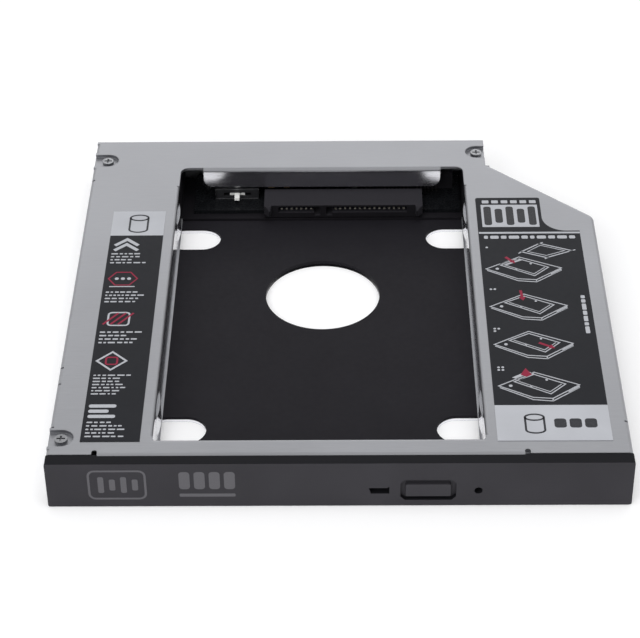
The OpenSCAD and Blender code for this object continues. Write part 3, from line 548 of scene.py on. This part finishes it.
@dataclass(frozen=True)
class MouldedPlastic:
    """Moulded plastic with a fine spark-eroded texture, with painted shade by facing where upper
    is given.
    """

    tone: Colour
    roughness: float = 0.5
    specular: float = 0.3
    texture: float = 0.000012
    cells: float = 5200.0
    edge: float = 0.0002
    # Colour of the faces that don't face the front; its difference from tone is painted shade by
    # facing.
    upper: Colour | None = None

    def material(self, name: str) -> bpy.types.Material:
        """Build the material.

        Args:
            name: Name of the material.

        Returns:
            The finished material.
        """
        graph = NodeGraph(name)
        flow = graph.noise(60.0, 3.0)
        pits = graph.noise(self.cells, 2.0)
        colour = graph.blend(graph.span(flow, 0, 0.3, 0.7), shade(self.tone, 0.9),
                             shade(self.tone, 1.1))
        graph.set(Specular_IOR_Level=self.specular)
        # Colour and specular by facing, as painted shade: front faces take tone, all others take
        # upper.
        if self.upper:
            facing = graph.add("ShaderNodeSeparateXYZ")
            graph.join(graph.add("ShaderNodeNewGeometry"), "True Normal", facing, 0)
            front = graph.span(facing, "Y", -0.9, -0.6, 1.0, 0.0)
            colour = graph.blend(front, self.upper, colour)
            graph.join(graph.span(front, 0, 0.0, 1.0, 0.04, self.specular), 0,
                       graph.shader, "Specular IOR Level")
        graph.join(colour, 2, graph.shader, "Base Color")
        graph.join(graph.span(pits, 0, 0.3, 0.7, self.roughness - 0.06, self.roughness + 0.06),
                   0, graph.shader, "Roughness")
        graph.relief(pits, 0, 0.5, self.texture, self.edge)
        return graph.material


@dataclass(frozen=True)
class PrintedFilm:
    """Smooth label film with the faint waviness of its glue."""

    tone: Colour
    roughness: float = 0.42
    specular: float = 0.25
    metal: float = 0.0

    def material(self, name: str) -> bpy.types.Material:
        """Build the material.

        Args:
            name: Name of the material.

        Returns:
            The finished material.
        """
        graph = NodeGraph(name)
        cloud = graph.noise(90.0, 3.0)
        wave = graph.noise(700.0, 2.0)
        colour = graph.blend(graph.span(cloud, 0, 0.3, 0.7), shade(self.tone, 0.94),
                             shade(self.tone, 1.06))
        graph.join(colour, 2, graph.shader, "Base Color")
        graph.join(graph.span(wave, 0, 0.3, 0.7, self.roughness - 0.04, self.roughness + 0.04),
                   0, graph.shader, "Roughness")
        graph.set(Specular_IOR_Level=self.specular, Metallic=self.metal)
        graph.relief(wave, 0, 0.2, 0.00001)
        return graph.material


@dataclass(frozen=True)
class Ink:
    """Screen-printed ink that lets a little of its ground through in fine specks."""

    tone: Colour
    ground: Colour
    specks: float = 0.12

    def material(self, name: str) -> bpy.types.Material:
        """Build the material.

        Args:
            name: Name of the material.

        Returns:
            The finished material.
        """
        graph = NodeGraph(name)
        cover = graph.noise(3600.0, 3.0, 0.7)
        share = graph.span(cover, 0, 0.52, 0.72, 0.0, self.specks)
        colour = graph.blend(share, self.tone, self.ground)
        graph.join(colour, 2, graph.shader, "Base Color")
        graph.join(graph.span(cover, 0, 0.3, 0.7, 0.45, 0.58), 0, graph.shader, "Roughness")
        graph.set(Specular_IOR_Level=0.25)
        graph.relief(cover, 0, 0.3, 0.000006)
        return graph.material


@dataclass(frozen=True)
class PlatedMetal:
    """Small plated metal parts with fine tumbling marks."""

    tone: Colour
    roughness: float = 0.26
    edge: float = 0.00012

    def material(self, name: str) -> bpy.types.Material:
        """Build the material.

        Args:
            name: Name of the material.

        Returns:
            The finished material.
        """
        graph = NodeGraph(name)
        marks = graph.noise(2400.0, 4.0, 0.65)
        tarnish = graph.noise(340.0, 2.0)
        colour = graph.blend(graph.span(tarnish, 0, 0.3, 0.7), shade(self.tone, 0.82), self.tone)
        graph.join(colour, 2, graph.shader, "Base Color")
        graph.join(graph.span(marks, 0, 0.3, 0.7, self.roughness - 0.07, self.roughness + 0.12),
                   0, graph.shader, "Roughness")
        graph.set(Metallic=1.0)
        graph.relief(marks, 0, 0.3, 0.00001, self.edge)
        return graph.material


@dataclass(frozen=True)
class SolderMask:
    """Glossy solder mask with the squared pattern of the copper under it."""

    tone: Colour = paint(15, 16, 18)
    copper: Colour = paint(19, 20, 22)
    tracks: float = 620.0

    def material(self, name: str) -> bpy.types.Material:
        """Build the material.

        Args:
            name: Name of the material.

        Returns:
            The finished material.
        """
        graph = NodeGraph(name)
        cells = graph.add("ShaderNodeTexVoronoi", feature="F1", distance="CHEBYCHEV")
        cells.inputs["Scale"].default_value = self.tracks
        cells.inputs["Randomness"].default_value = 0.75
        graph.join(graph.stretched((1.0, 0.45, 1.0)), "Vector", cells, "Vector")
        tracks = graph.span(cells, "Distance", 0.34, 0.42)
        graph.join(graph.blend(tracks, self.tone, self.copper), 2, graph.shader, "Base Color")
        film = graph.noise(1500.0, 2.0)
        graph.join(graph.span(film, 0, 0.3, 0.7, 0.22, 0.34), 0, graph.shader, "Roughness")
        graph.set(Specular_IOR_Level=0.08)
        graph.relief(tracks, 0, 0.3, 0.00002)
        return graph.material


@dataclass(frozen=True)
class Ceramic:
    """Fired ceramic of the small parts on the board."""

    tone: Colour
    fleck: Colour

    def material(self, name: str) -> bpy.types.Material:
        """Build the material.

        Args:
            name: Name of the material.

        Returns:
            The finished material.
        """
        graph = NodeGraph(name)
        grain = graph.noise(6000.0, 3.0)
        graph.join(graph.blend(graph.span(grain, 0, 0.4, 0.65), self.tone, self.fleck), 2,
                   graph.shader, "Base Color")
        graph.join(graph.span(grain, 0, 0.3, 0.7, 0.4, 0.55), 0, graph.shader, "Roughness")
        graph.relief(grain, 0, 0.4, 0.00001)
        return graph.material


def dress(material: bpy.types.Material, *nodes: str) -> None:
    """Give the material to every slot of the named CAD pieces.

    Args:
        material: Material to assign.
        *nodes: Names of CAD nodes.
    """
    for node in nodes:
        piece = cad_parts[node]
        if not piece.material_slots:
            piece.data.materials.append(material)
        for slot in piece.material_slots:
            slot.material = material
        LOG.info("%s wears %s", node, material.name)


@dataclass
class MetalCase:
    """The pressed top frame and the tray under it, with their posts and screws."""

    bay_low: Point = (-0.0425, -0.058)
    bay_high: Point = (0.0335, 0.0535)
    tray_tone: Colour = paint(146, 147, 151)
    # Painted highlight on the tray's upright faces at the ends of the bay, and painted shade over
    # its middle.
    tray_painted_highlight: Colour = paint(240, 240, 243)
    tray_painted_shade: Colour = paint(18, 18, 20)
    nickel: Colour = paint(150, 151, 154)
    zinc: Colour = paint(170, 171, 174)

    def dress(self) -> None:
        """Give the sheets a satin finish, and the bay's flanges polish, painted highlight and
        painted shade.
        """
        top = RolledSheet(bay_low=self.bay_low, bay_high=self.bay_high)
        dress(top.material("satin_top_sheet"), "top_frame")
        tray = RolledSheet(tone=self.tray_tone, satin=0.44, painted_highlight=self.tray_painted_highlight,
                           polish=0.1, bay_low=self.bay_low, bay_high=self.bay_high,
                           painted_shade=self.tray_painted_shade)
        dress(tray.material("satin_tray_sheet"), "bottom_tray")
        dress(PlatedMetal(self.nickel, 0.22).material("nickel_screws"), "case_screws")
        dress(PlatedMetal(self.zinc, 0.34).material("zinc_posts"), "case_posts")


@dataclass
class BayFloor:
    """The black sheet on the floor of the bay and the carrier at its rear."""

    liner: Colour = paint(29, 28, 32)
    carrier: Colour = paint(24, 23, 26)

    def dress(self) -> None:
        """Give the liner a matt film finish and the carrier a moulded one."""
        dress(PrintedFilm(self.liner, 0.55, 0.06).material("matt_floor_film"), "floor_liner")
        dress(MouldedPlastic(self.carrier, 0.55, 0.06).material("carrier_plastic"),
              "board_carrier")


@dataclass
class ConnectorBoard:
    """The circuit board at the rear with its connectors, screws and small parts."""

    housing: Colour = paint(44, 43, 47)
    # Factor that darkens the connectors' front faces: painted shade.
    painted_front_shade: float = 0.4
    gilt: Colour = paint(236, 231, 218)
    # Dark tone of the host contacts: painted shade, for contacts that lie in shadow behind the
    # rear flange.
    painted_shade_tin: Colour = paint(56, 55, 54)
    hardware: Colour = paint(176, 177, 180)
    capacitor: Ceramic = Ceramic(paint(150, 122, 88), paint(176, 150, 112))
    resistor: Ceramic = Ceramic(paint(24, 24, 26), paint(44, 44, 46))

    def dress(self) -> None:
        """Give the board solder mask, the connectors plastic and contacts metal, with painted
        shade on the connectors' fronts and host contacts.
        """
        dress(SolderMask().material("solder_mask"), "circuit_board")
        # The front faces get the housing tone darkened as painted shade; the others keep it.
        plastic = MouldedPlastic(shade(self.housing, self.painted_front_shade), 0.5, 0.05,
                                 edge=0.00012, upper=self.housing)
        dress(plastic.material("connector_plastic"), "drive_connector", "host_connector")
        dress(PlatedMetal(self.gilt, 0.3).material("gilt_contacts"),
              "signal_contacts", "power_contacts")
        # Host contacts darkened as painted shade.
        dress(PlatedMetal(self.painted_shade_tin, 0.4).material("host_contacts_painted_shade"),
              "host_signal_contacts", "host_power_contacts")
        dress(PlatedMetal(self.hardware, 0.3).material("board_hardware"),
              "board_screws", "board_posts")
        dress(self.capacitor.material("capacitor_ceramic"), "capacitors")
        dress(self.resistor.material("resistor_ceramic"), "resistors")


@dataclass
class SlideSwitch:
    """The small slide switch beside the drive connector."""

    base: Colour = paint(30, 30, 32)
    lever: Colour = paint(226, 226, 224)
    cover: Colour = paint(118, 118, 121)
    terminals: Colour = paint(200, 200, 202)

    def dress(self) -> None:
        """Give the base and lever plastic, the cover and terminals plated metal."""
        dress(MouldedPlastic(self.base, 0.5, 0.3).material("switch_plastic"), "switch_base")
        dress(MouldedPlastic(self.lever, 0.4, 0.4).material("lever_plastic"), "switch_lever")
        dress(PlatedMetal(self.cover, 0.34).material("switch_cover"), "switch_case")
        dress(PlatedMetal(self.terminals, 0.3).material("tinned_terminals"),
              "switch_terminals")


@dataclass
class Inks:
    """Tones of the inks and the films of the labels and the bezel."""

    light: Colour = paint(176, 178, 184)
    crimson: Colour = paint(132, 16, 50)
    dark: Colour = paint(32, 33, 38)
    faint: Colour = paint(92, 91, 95)
    black_film: Colour = paint(30, 31, 35)
    silver_film: Colour = paint(176, 178, 184)


@dataclass
class BezelFront:
    """The black moulded front with its button and its faint marks."""

    face: Colour = paint(53, 52, 56)
    # Darker colour of the bezel's faces that don't face forward: painted shade, the top lit less
    # than the face.
    upper: Colour = paint(26, 26, 29)
    mark_frame: Sequence[float] = (9.4, 2.3, 12.4, 8.0, 1.4)
    mark_stroke: float = 0.5
    mark_middle: float = 6.3
    framed_bars: Sequence[Point] = ((11.4, 4.6), (13.9, 3.2), (16.4, 4.6), (18.9, 3.2))
    tall_bars: Sequence[float] = (29.2, 32.5, 35.8, 39.1)

    def dress(self) -> None:
        """Give the front and its button their moulded textures, with painted shade on the bezel's
        faces that don't face forward.
        """
        dress(MouldedPlastic(self.face, 0.5, 0.14, upper=self.upper).material(
            "bezel_plastic"), "bezel")
        dress(MouldedPlastic(shade(self.face, 1.15), 0.45, 0.16).material("button_plastic"),
              "eject_button")
        self.marks(Inks())

    def marks(self, inks: Inks) -> None:
        """Print two faint marks of bars on the front.

        Args:
            inks: Inks to print with.
        """
        pen = InkPen(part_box("bezel")[0], along=(0.0, 0.0, 1.0))
        pen.ring(rounded(*self.mark_frame), self.mark_stroke)
        for x, depth in self.framed_bars:
            pen.bar(x, self.mark_middle - depth / 2, 1.3, depth, 0.4)
        for x in self.tall_bars:
            pen.bar(x, 5.0, 2.4, 5.0, 0.8)
        pen.bar(self.tall_bars[0], 2.8, 12.3, 0.9, 0.3)
        pen.build("bezel_marks", Ink(inks.faint, self.face).material("faint_ink_bezel"),
                  Slot.BEZEL)


def drum(pen: InkPen, x: float, y: float, width: float, depth: float, stroke: float) -> None:
    """Print the outline of an upright drum, from its lower left corner.

    Args:
        pen: Pen to print with.
        x: Left side.
        y: Lower side.
        width: Width.
        depth: Depth.
        stroke: Width of the line.
    """
    half, lip = width / 2, depth * 0.16
    top, foot = y + depth - lip, y + lip
    pen.ring(arc((x + half, top), (half, lip), 0, 350, 35), stroke)
    pen.line([(x, top), *arc((x + half, foot), (half, lip), 180, 360, 20), (x + width, top)],
             stroke)


@dataclass
class LeftLabel:
    """The narrow black label with the silver one behind it."""

    margin: float = 0.9
    room: float = 9.6
    seed: int = 5
    blocks: Sequence[tuple[float, float, int]] = (
        (1.1, 7.1, 5), (15.9, 23.7, 7), (34.6, 39.9, 4), (50.5, 55.6, 4), (66.4, 71.4, 4))
    middle: float = 4.6
    bars: Sequence[Point] = ((8.0, 6.2), (9.8, 4.6), (11.6, 6.2))
    diamond_at: float = 28.4
    square_at: float = 41.8
    hexagon_at: float = 60.4
    chevrons: Sequence[float] = (72.2, 74.3)

    def rows(self, pen: InkPen) -> None:
        """Print the blocks of small rows.

        Args:
            pen: Pen with light ink.
        """
        chance = random.Random(self.seed)
        for low, high, count in self.blocks:
            pen.small_rows(chance, self.margin, low, high, count, self.room)

    def shapes(self, light: InkPen, crimson: InkPen) -> None:
        """Print one simple shape over each block, from the front to the rear.

        Args:
            light: Pen with light ink.
            crimson: Pen with crimson ink.
        """
        middle = self.middle
        for y, width in self.bars:
            light.bar(self.margin, y, width, 1.1, 0.5)
        y, reach = self.diamond_at, 3.4
        light.ring([(middle, y - 3.3), (middle + reach, y), (middle, y + 3.3),
                    (middle - reach, y)], 0.5)
        crimson.ring(rounded(middle - 1.3, y - 1.3, 2.6, 2.6, 0.5), 0.45)
        y = self.square_at
        light.ring(rounded(2.4, y, 5.0, 5.0, 0.9), 0.45)
        for x in (1.3, 3.1, 4.9):
            crimson.line([(x, y + 0.4), (x + 3.4, y + 4.8)], 0.5)
        y = self.hexagon_at
        crimson.ring(arc((middle, y), (3.5, 3.0), 0, 300, 5), 0.35)
        for x in (middle - 1.5, middle, middle + 1.5):
            light.pip(x, y, 0.5)
        light.bar(1.5, y - 3.4, 6.2, 0.35)
        for y in self.chevrons:
            light.line([(1.5, y), (4.4, y + 2.6), (7.3, y)], 0.95)

    def build(self, inks: Inks) -> None:
        """Print both parts of the label.

        Args:
            inks: Inks to print with.
        """
        low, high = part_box("warning_label")
        corner = Vector((low.x, low.y, high.z))
        light, crimson = InkPen(corner), InkPen(corner, lift=0.025)
        self.rows(light)
        self.shapes(light, crimson)
        light.build("left_print_light",
                    Ink(inks.light, inks.black_film).material("light_ink_left"),
                    Slot.BLACK_LABEL)
        crimson.build("left_print_crimson",
                      Ink(inks.crimson, inks.black_film).material("crimson_ink_left"),
                      Slot.BLACK_LABEL)
        low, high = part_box("drive_icon_label")
        dark = InkPen(Vector((low.x, low.y, high.z)))
        drum(dark, 4.5, 1.4, 4.5, 7.5, 0.48)
        dark.build("left_print_dark",
                   Ink(inks.dark, inks.silver_film).material("dark_ink_left"),
                   Slot.SILVER_LABEL)


@dataclass
class CaddyPicture:
    """A small slanted drawing of the caddy, as it stands beside a step."""

    left: float
    low: float
    stroke: float = 0.28

    def at(self, *points: Point) -> list[Point]:
        """Return the points moved to the drawing's own place."""
        return [(self.left + x, self.low + y) for x, y in points]

    def draw(self, pen: InkPen) -> None:
        """Draw the tray, its bay, its front edge and its dot.

        Args:
            pen: Pen with light ink.
        """
        pen.ring(self.at((0, 0), (7.5, -4.1), (11.9, -4.5), (18.3, 0.3), (8.3, 4.9)), self.stroke)
        pen.line(self.at((0.2, -0.6), (7.5, -4.9), (11.9, -5.4), (18.3, -0.6)), self.stroke)
        pen.line(self.at((11.9, -4.6), (11.9, -5.4)), self.stroke)
        pen.area(self.at((15.6, -2.6), (18.3, -0.6), (18.3, 0.2), (15.6, -1.8)))
        pen.ring(self.at((3.6, 1.5), (11.6, -2.9), (15.2, 0.6), (8.3, 4.1)), self.stroke)
        pen.line(self.at((4.6, 1.6), (11.5, -2.1), (14.3, 0.6)), 0.22)
        pen.pip(self.left + 2.7, self.low + 0.05, 0.42)
        for x, y in ((7.3, -0.2), (11.0, 2.1)):
            pen.pip(self.left + x, self.low + y, 0.3)


@dataclass
class RightLabel:
    """The wide black label with four drawn steps, and the silver one before it."""

    step_rows: Sequence[float] = (60.3, 43.0, 27.5, 13.0)
    pictures: Sequence[Point] = ((1.1, 51.8), (1.2, 36.6), (1.3, 22.0), (1.4, 6.8))
    width: float = 25.1
    panel_bars: Sequence[tuple[float, float, float]] = (
        (1.8, 70.4, 8.2), (4.6, 71.4, 6.2), (7.4, 70.4, 8.2), (10.2, 71.4, 6.2),
        (13.0, 70.4, 8.2))
    tab_bars: Sequence[float] = (1.6, 4.0, 6.4, 8.8, 11.2, 13.6)
    heading_row: Sequence[float] = (1.0, 2.1, 1.4, 2.6, 1.6, 1.1, 2.3, 1.7, 2.4, 1.5)
    side_row: Sequence[float] = (2.6, 1.2, 2.1, 1.6, 2.4, 1.3, 1.2)
    silver_bars: Sequence[float] = (12.9, 16.3, 19.7)

    def heading(self, light: InkPen, dark: InkPen) -> None:
        """Print the tab's panel, the line under it and the row of bars under that.

        Args:
            light: Pen with light ink.
            dark: Pen with the film's colour.
        """
        light.bar(1.2, 69.6, 14.3, 9.8, 0.15)
        for x, foot, depth in self.panel_bars:
            dark.bar(x, foot, 1.9, depth, 0.7)
        for x in self.tab_bars:
            light.bar(x, 80.1, 1.7, 1.3, 0.2)
        light.bar(0.15, 66.7, self.width, 0.7, 0.05)
        x = 1.3
        for length in self.heading_row:
            light.bar(x, 64.5, length, 1.3, 0.35)
            x += length + 0.55

    def steps(self, light: InkPen, crimson: InkPen) -> None:
        """Print the counting pips, the drawings and their arrows.

        Args:
            light: Pen with light ink.
            crimson: Pen with crimson ink.
        """
        for number, y in enumerate(self.step_rows):
            for pip in range(number + 1):
                light.pip(1.75 + (pip % 2) * 0.95, y + 0.5 - (pip // 2) * 0.95, 0.32)
        for place in self.pictures:
            CaddyPicture(*place).draw(light)
        first, second, third, fourth = (CaddyPicture(*place) for place in self.pictures)
        light.ring(first.at((9.0, 7.1), (15.1, 4.6), (21.5, 7.5), (13.8, 10.6)), 0.34)
        light.ring(first.at((10.6, 7.2), (15.1, 5.5), (19.7, 7.5), (13.9, 9.8)), 0.22)
        for start, end in (((8.3, 6.4), (9.4, 7.3)), ((14.6, 4.1), (15.6, 4.8)),
                           ((20.9, 7.2), (22.4, 7.9)), ((13.2, 10.3), (14.6, 11.0))):
            light.line(first.at(start, end), 0.34)
        light.area(first.at((3.4, 2.2), (5.0, 1.5), (9.0, 3.6), (7.4, 4.3)))
        crimson.arrow(*first.at((5.0, 4.9), (7.2, 2.3)), 0.75, 1.3)
        crimson.arrow(*second.at((7.6, 6.4), (8.0, 2.3)), 0.65, 1.5)
        crimson.arrow(*third.at((10.4, 0.6), (14.0, -1.5)), 0.65, 1.4)
        light.area(fourth.at((3.2, 3.0), (5.0, 2.1), (8.4, 4.4), (6.8, 5.3)))
        crimson.area(fourth.at((5.2, 4.0), (6.5, 3.2), (7.8, 4.0), (6.5, 6.4)))

    def build(self, inks: Inks) -> None:
        """Print both parts of the label.

        Args:
            inks: Inks to print with.
        """
        low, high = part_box("step_label")
        corner = Vector((low.x, low.y, high.z))
        light, crimson = InkPen(corner), InkPen(corner, lift=0.025)
        dark = InkPen(corner, lift=0.03)
        self.heading(light, dark)
        self.steps(light, crimson)
        y = 26.1
        for length in self.side_row:
            light.bar(23.0, y, 1.0, length, 0.25)
            y += length + 0.4
        light.build("right_print_light",
                    Ink(inks.light, inks.black_film).material("light_ink_right"),
                    Slot.BLACK_LABEL)
        crimson.build("right_print_crimson",
                      Ink(inks.crimson, inks.black_film).material("crimson_ink_right"),
                      Slot.BLACK_LABEL)
        dark.build("right_print_film",
                   Ink(inks.black_film, inks.light).material("film_ink_right"),
                   Slot.BLACK_LABEL)
        low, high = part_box("drive_label")
        pen = InkPen(Vector((low.x, low.y, high.z)))
        drum(pen, 6.5, 2.5, 4.2, 6.4, 0.48)
        for x in self.silver_bars:
            pen.bar(x, 4.3, 2.7, 3.1, 0.7)
        pen.build("right_print_dark",
                  Ink(inks.dark, inks.silver_film).material("dark_ink_right"),
                  Slot.SILVER_LABEL)


@dataclass
class Labels:
    """The films of the four labels and the print on them."""

    inks: Inks = field(default_factory=Inks)

    def dress(self) -> None:
        """Give the label sheets their films and print them."""
        dress(PrintedFilm(self.inks.black_film, 0.45, 0.08).material("black_label_film"),
              "warning_label", "step_label")
        dress(PrintedFilm(self.inks.silver_film, 0.4, 0.3).material("silver_label_film"),
              "drive_icon_label", "drive_label")
        LeftLabel().build(self.inks)
        RightLabel().build(self.inks)


@dataclass(frozen=True)
class Lamp:
    """A soft lamp that faces the middle of the caddy."""

    name: str
    place: tuple[float, float, float]
    size: Point
    power: float
    mirrored: bool = False

    def hang(self) -> None:
        """Hang the lamp out of the camera's sight, and shown in gloss only if mirrored."""
        data = bpy.data.lights.new(self.name, "AREA")
        data.shape = "RECTANGLE"
        data.size, data.size_y = self.size
        data.energy = self.power
        lamp = bpy.data.objects.new(self.name, data)
        bpy.context.scene.collection.objects.link(lamp)
        lamp.location = self.place
        lamp.rotation_mode = "QUATERNION"
        lamp.rotation_quaternion = (-Vector(self.place)).to_track_quat("-Z", "Y")
        lamp.visible_camera = False
        lamp.visible_glossy = self.mirrored
        LOG.info("%s gives %.0f W", self.name, self.power)


@dataclass
class Studio:
    """Camera, floor, sky and lamps."""

    camera_place: Sequence[float] = (0.001302, -0.404107, 0.312226)
    pitch: float = 37.4655
    yaw: float = -0.8493
    roll: float = 0.7746
    lens: float = 117.13
    sensor: float = 36.0
    clip: Point = (0.02, 40.0)
    floor_size: float = 8.0
    floor_tone: Colour = paint(236, 236, 237)
    floor_glow: float = 0.2
    sky: float = 0.42
    lamps: Sequence[Lamp] = (
        Lamp("lamp_front", (-0.5, -1.3, 1.0), (1.4, 1.0), 14.0),
        Lamp("lamp_top", (0.1, -0.3, 1.6), (1.4, 1.4), 12.0),
        Lamp("lamp_rear", (0.0, 2.2, 0.9), (1.8, 0.6), 6.0, mirrored=True))

    def camera(self) -> None:
        """Place the camera where the photograph was taken from."""
        yaw, pitch, roll = (math.radians(a) for a in (self.yaw, self.pitch, self.roll))
        ahead = Vector((math.sin(yaw) * math.cos(pitch), math.cos(yaw) * math.cos(pitch),
                        -math.sin(pitch)))
        level = Vector((math.cos(yaw), -math.sin(yaw), 0.0))
        below = ahead.cross(level)
        right = level * math.cos(roll) + below * math.sin(roll)
        down = below * math.cos(roll) - level * math.sin(roll)
        data = bpy.data.cameras.new("camera")
        data.lens, data.sensor_width = self.lens, self.sensor
        data.clip_start, data.clip_end = self.clip
        holder = bpy.data.objects.new("camera", data)
        bpy.context.scene.collection.objects.link(holder)
        turn = Matrix((right, -down, -ahead)).transposed().to_4x4()
        holder.matrix_world = Matrix.Translation(self.camera_place) @ turn
        bpy.context.scene.camera = holder

    @staticmethod
    def seen(tree: bpy.types.NodeTree) -> bpy.types.Node:
        """Mark the rays that show the background: from the camera, a gloss or a glass.

        Args:
            tree: Tree that the nodes go into.

        Returns:
            A node whose first output is 1 on such rays and 0 on the others.
        """
        path = tree.nodes.new("ShaderNodeLightPath")
        first = tree.nodes.new("ShaderNodeMath")
        first.operation = "MAXIMUM"
        tree.links.new(path.outputs["Is Camera Ray"], first.inputs[0])
        tree.links.new(path.outputs["Is Glossy Ray"], first.inputs[1])
        second = tree.nodes.new("ShaderNodeMath")
        second.operation = "MAXIMUM"
        tree.links.new(first.outputs[0], second.inputs[0])
        tree.links.new(path.outputs["Is Transmission Ray"], second.inputs[1])
        return second

    def sky_light(self) -> None:
        """Make the sky white where it is seen and softer where it lights."""
        world = bpy.data.worlds.new("studio")
        world.use_nodes = True
        tree = world.node_tree
        ground = tree.nodes["Background"]
        level = tree.nodes.new("ShaderNodeMapRange")
        level.inputs["To Min"].default_value = self.sky
        level.inputs["To Max"].default_value = 1.0
        tree.links.new(self.seen(tree).outputs[0], level.inputs["Value"])
        tree.links.new(level.outputs[0], ground.inputs["Strength"])
        ground.inputs["Color"].default_value = WHITE
        bpy.context.scene.world = world

    def floor(self) -> None:
        """Lay a pale floor that keeps the caddy's shadow."""
        mesh = bpy.data.meshes.new("studio_floor")
        half = self.floor_size / 2
        corners = [(-half, -half, 0.0), (half, -half, 0.0), (half, half, 0.0),
                   (-half, half, 0.0)]
        mesh.from_pydata(corners, [], [(0, 1, 2, 3)])
        floor = bpy.data.objects.new("studio_floor", mesh)
        bpy.context.scene.collection.objects.link(floor)
        graph = NodeGraph("pale_floor")
        graph.set(Base_Color=self.floor_tone, Roughness=0.8, Specular_IOR_Level=0.1,
                  Emission_Color=WHITE)
        glow = graph.maths("MULTIPLY", (self.seen(graph.tree), 0), self.floor_glow)
        graph.join(glow, 0, graph.shader, "Emission Strength")
        mesh.materials.append(graph.material)

    def build(self) -> None:
        """Set up the whole studio."""
        bpy.context.scene.view_settings.view_transform = "Standard"
        self.camera()
        self.sky_light()
        self.floor()
        for lamp in self.lamps:
            lamp.hang()


def main() -> None:
    """Dress the caddy, print its labels and set up the studio."""
    logging.basicConfig(level=logging.INFO, format="%(name)s: %(message)s")
    for part in (MetalCase(), BayFloor(), ConnectorBoard(), SlideSwitch(), BezelFront(),
                 Labels()):
        part.dress()
    Studio().build()


if __name__ == "__main__":
    main()
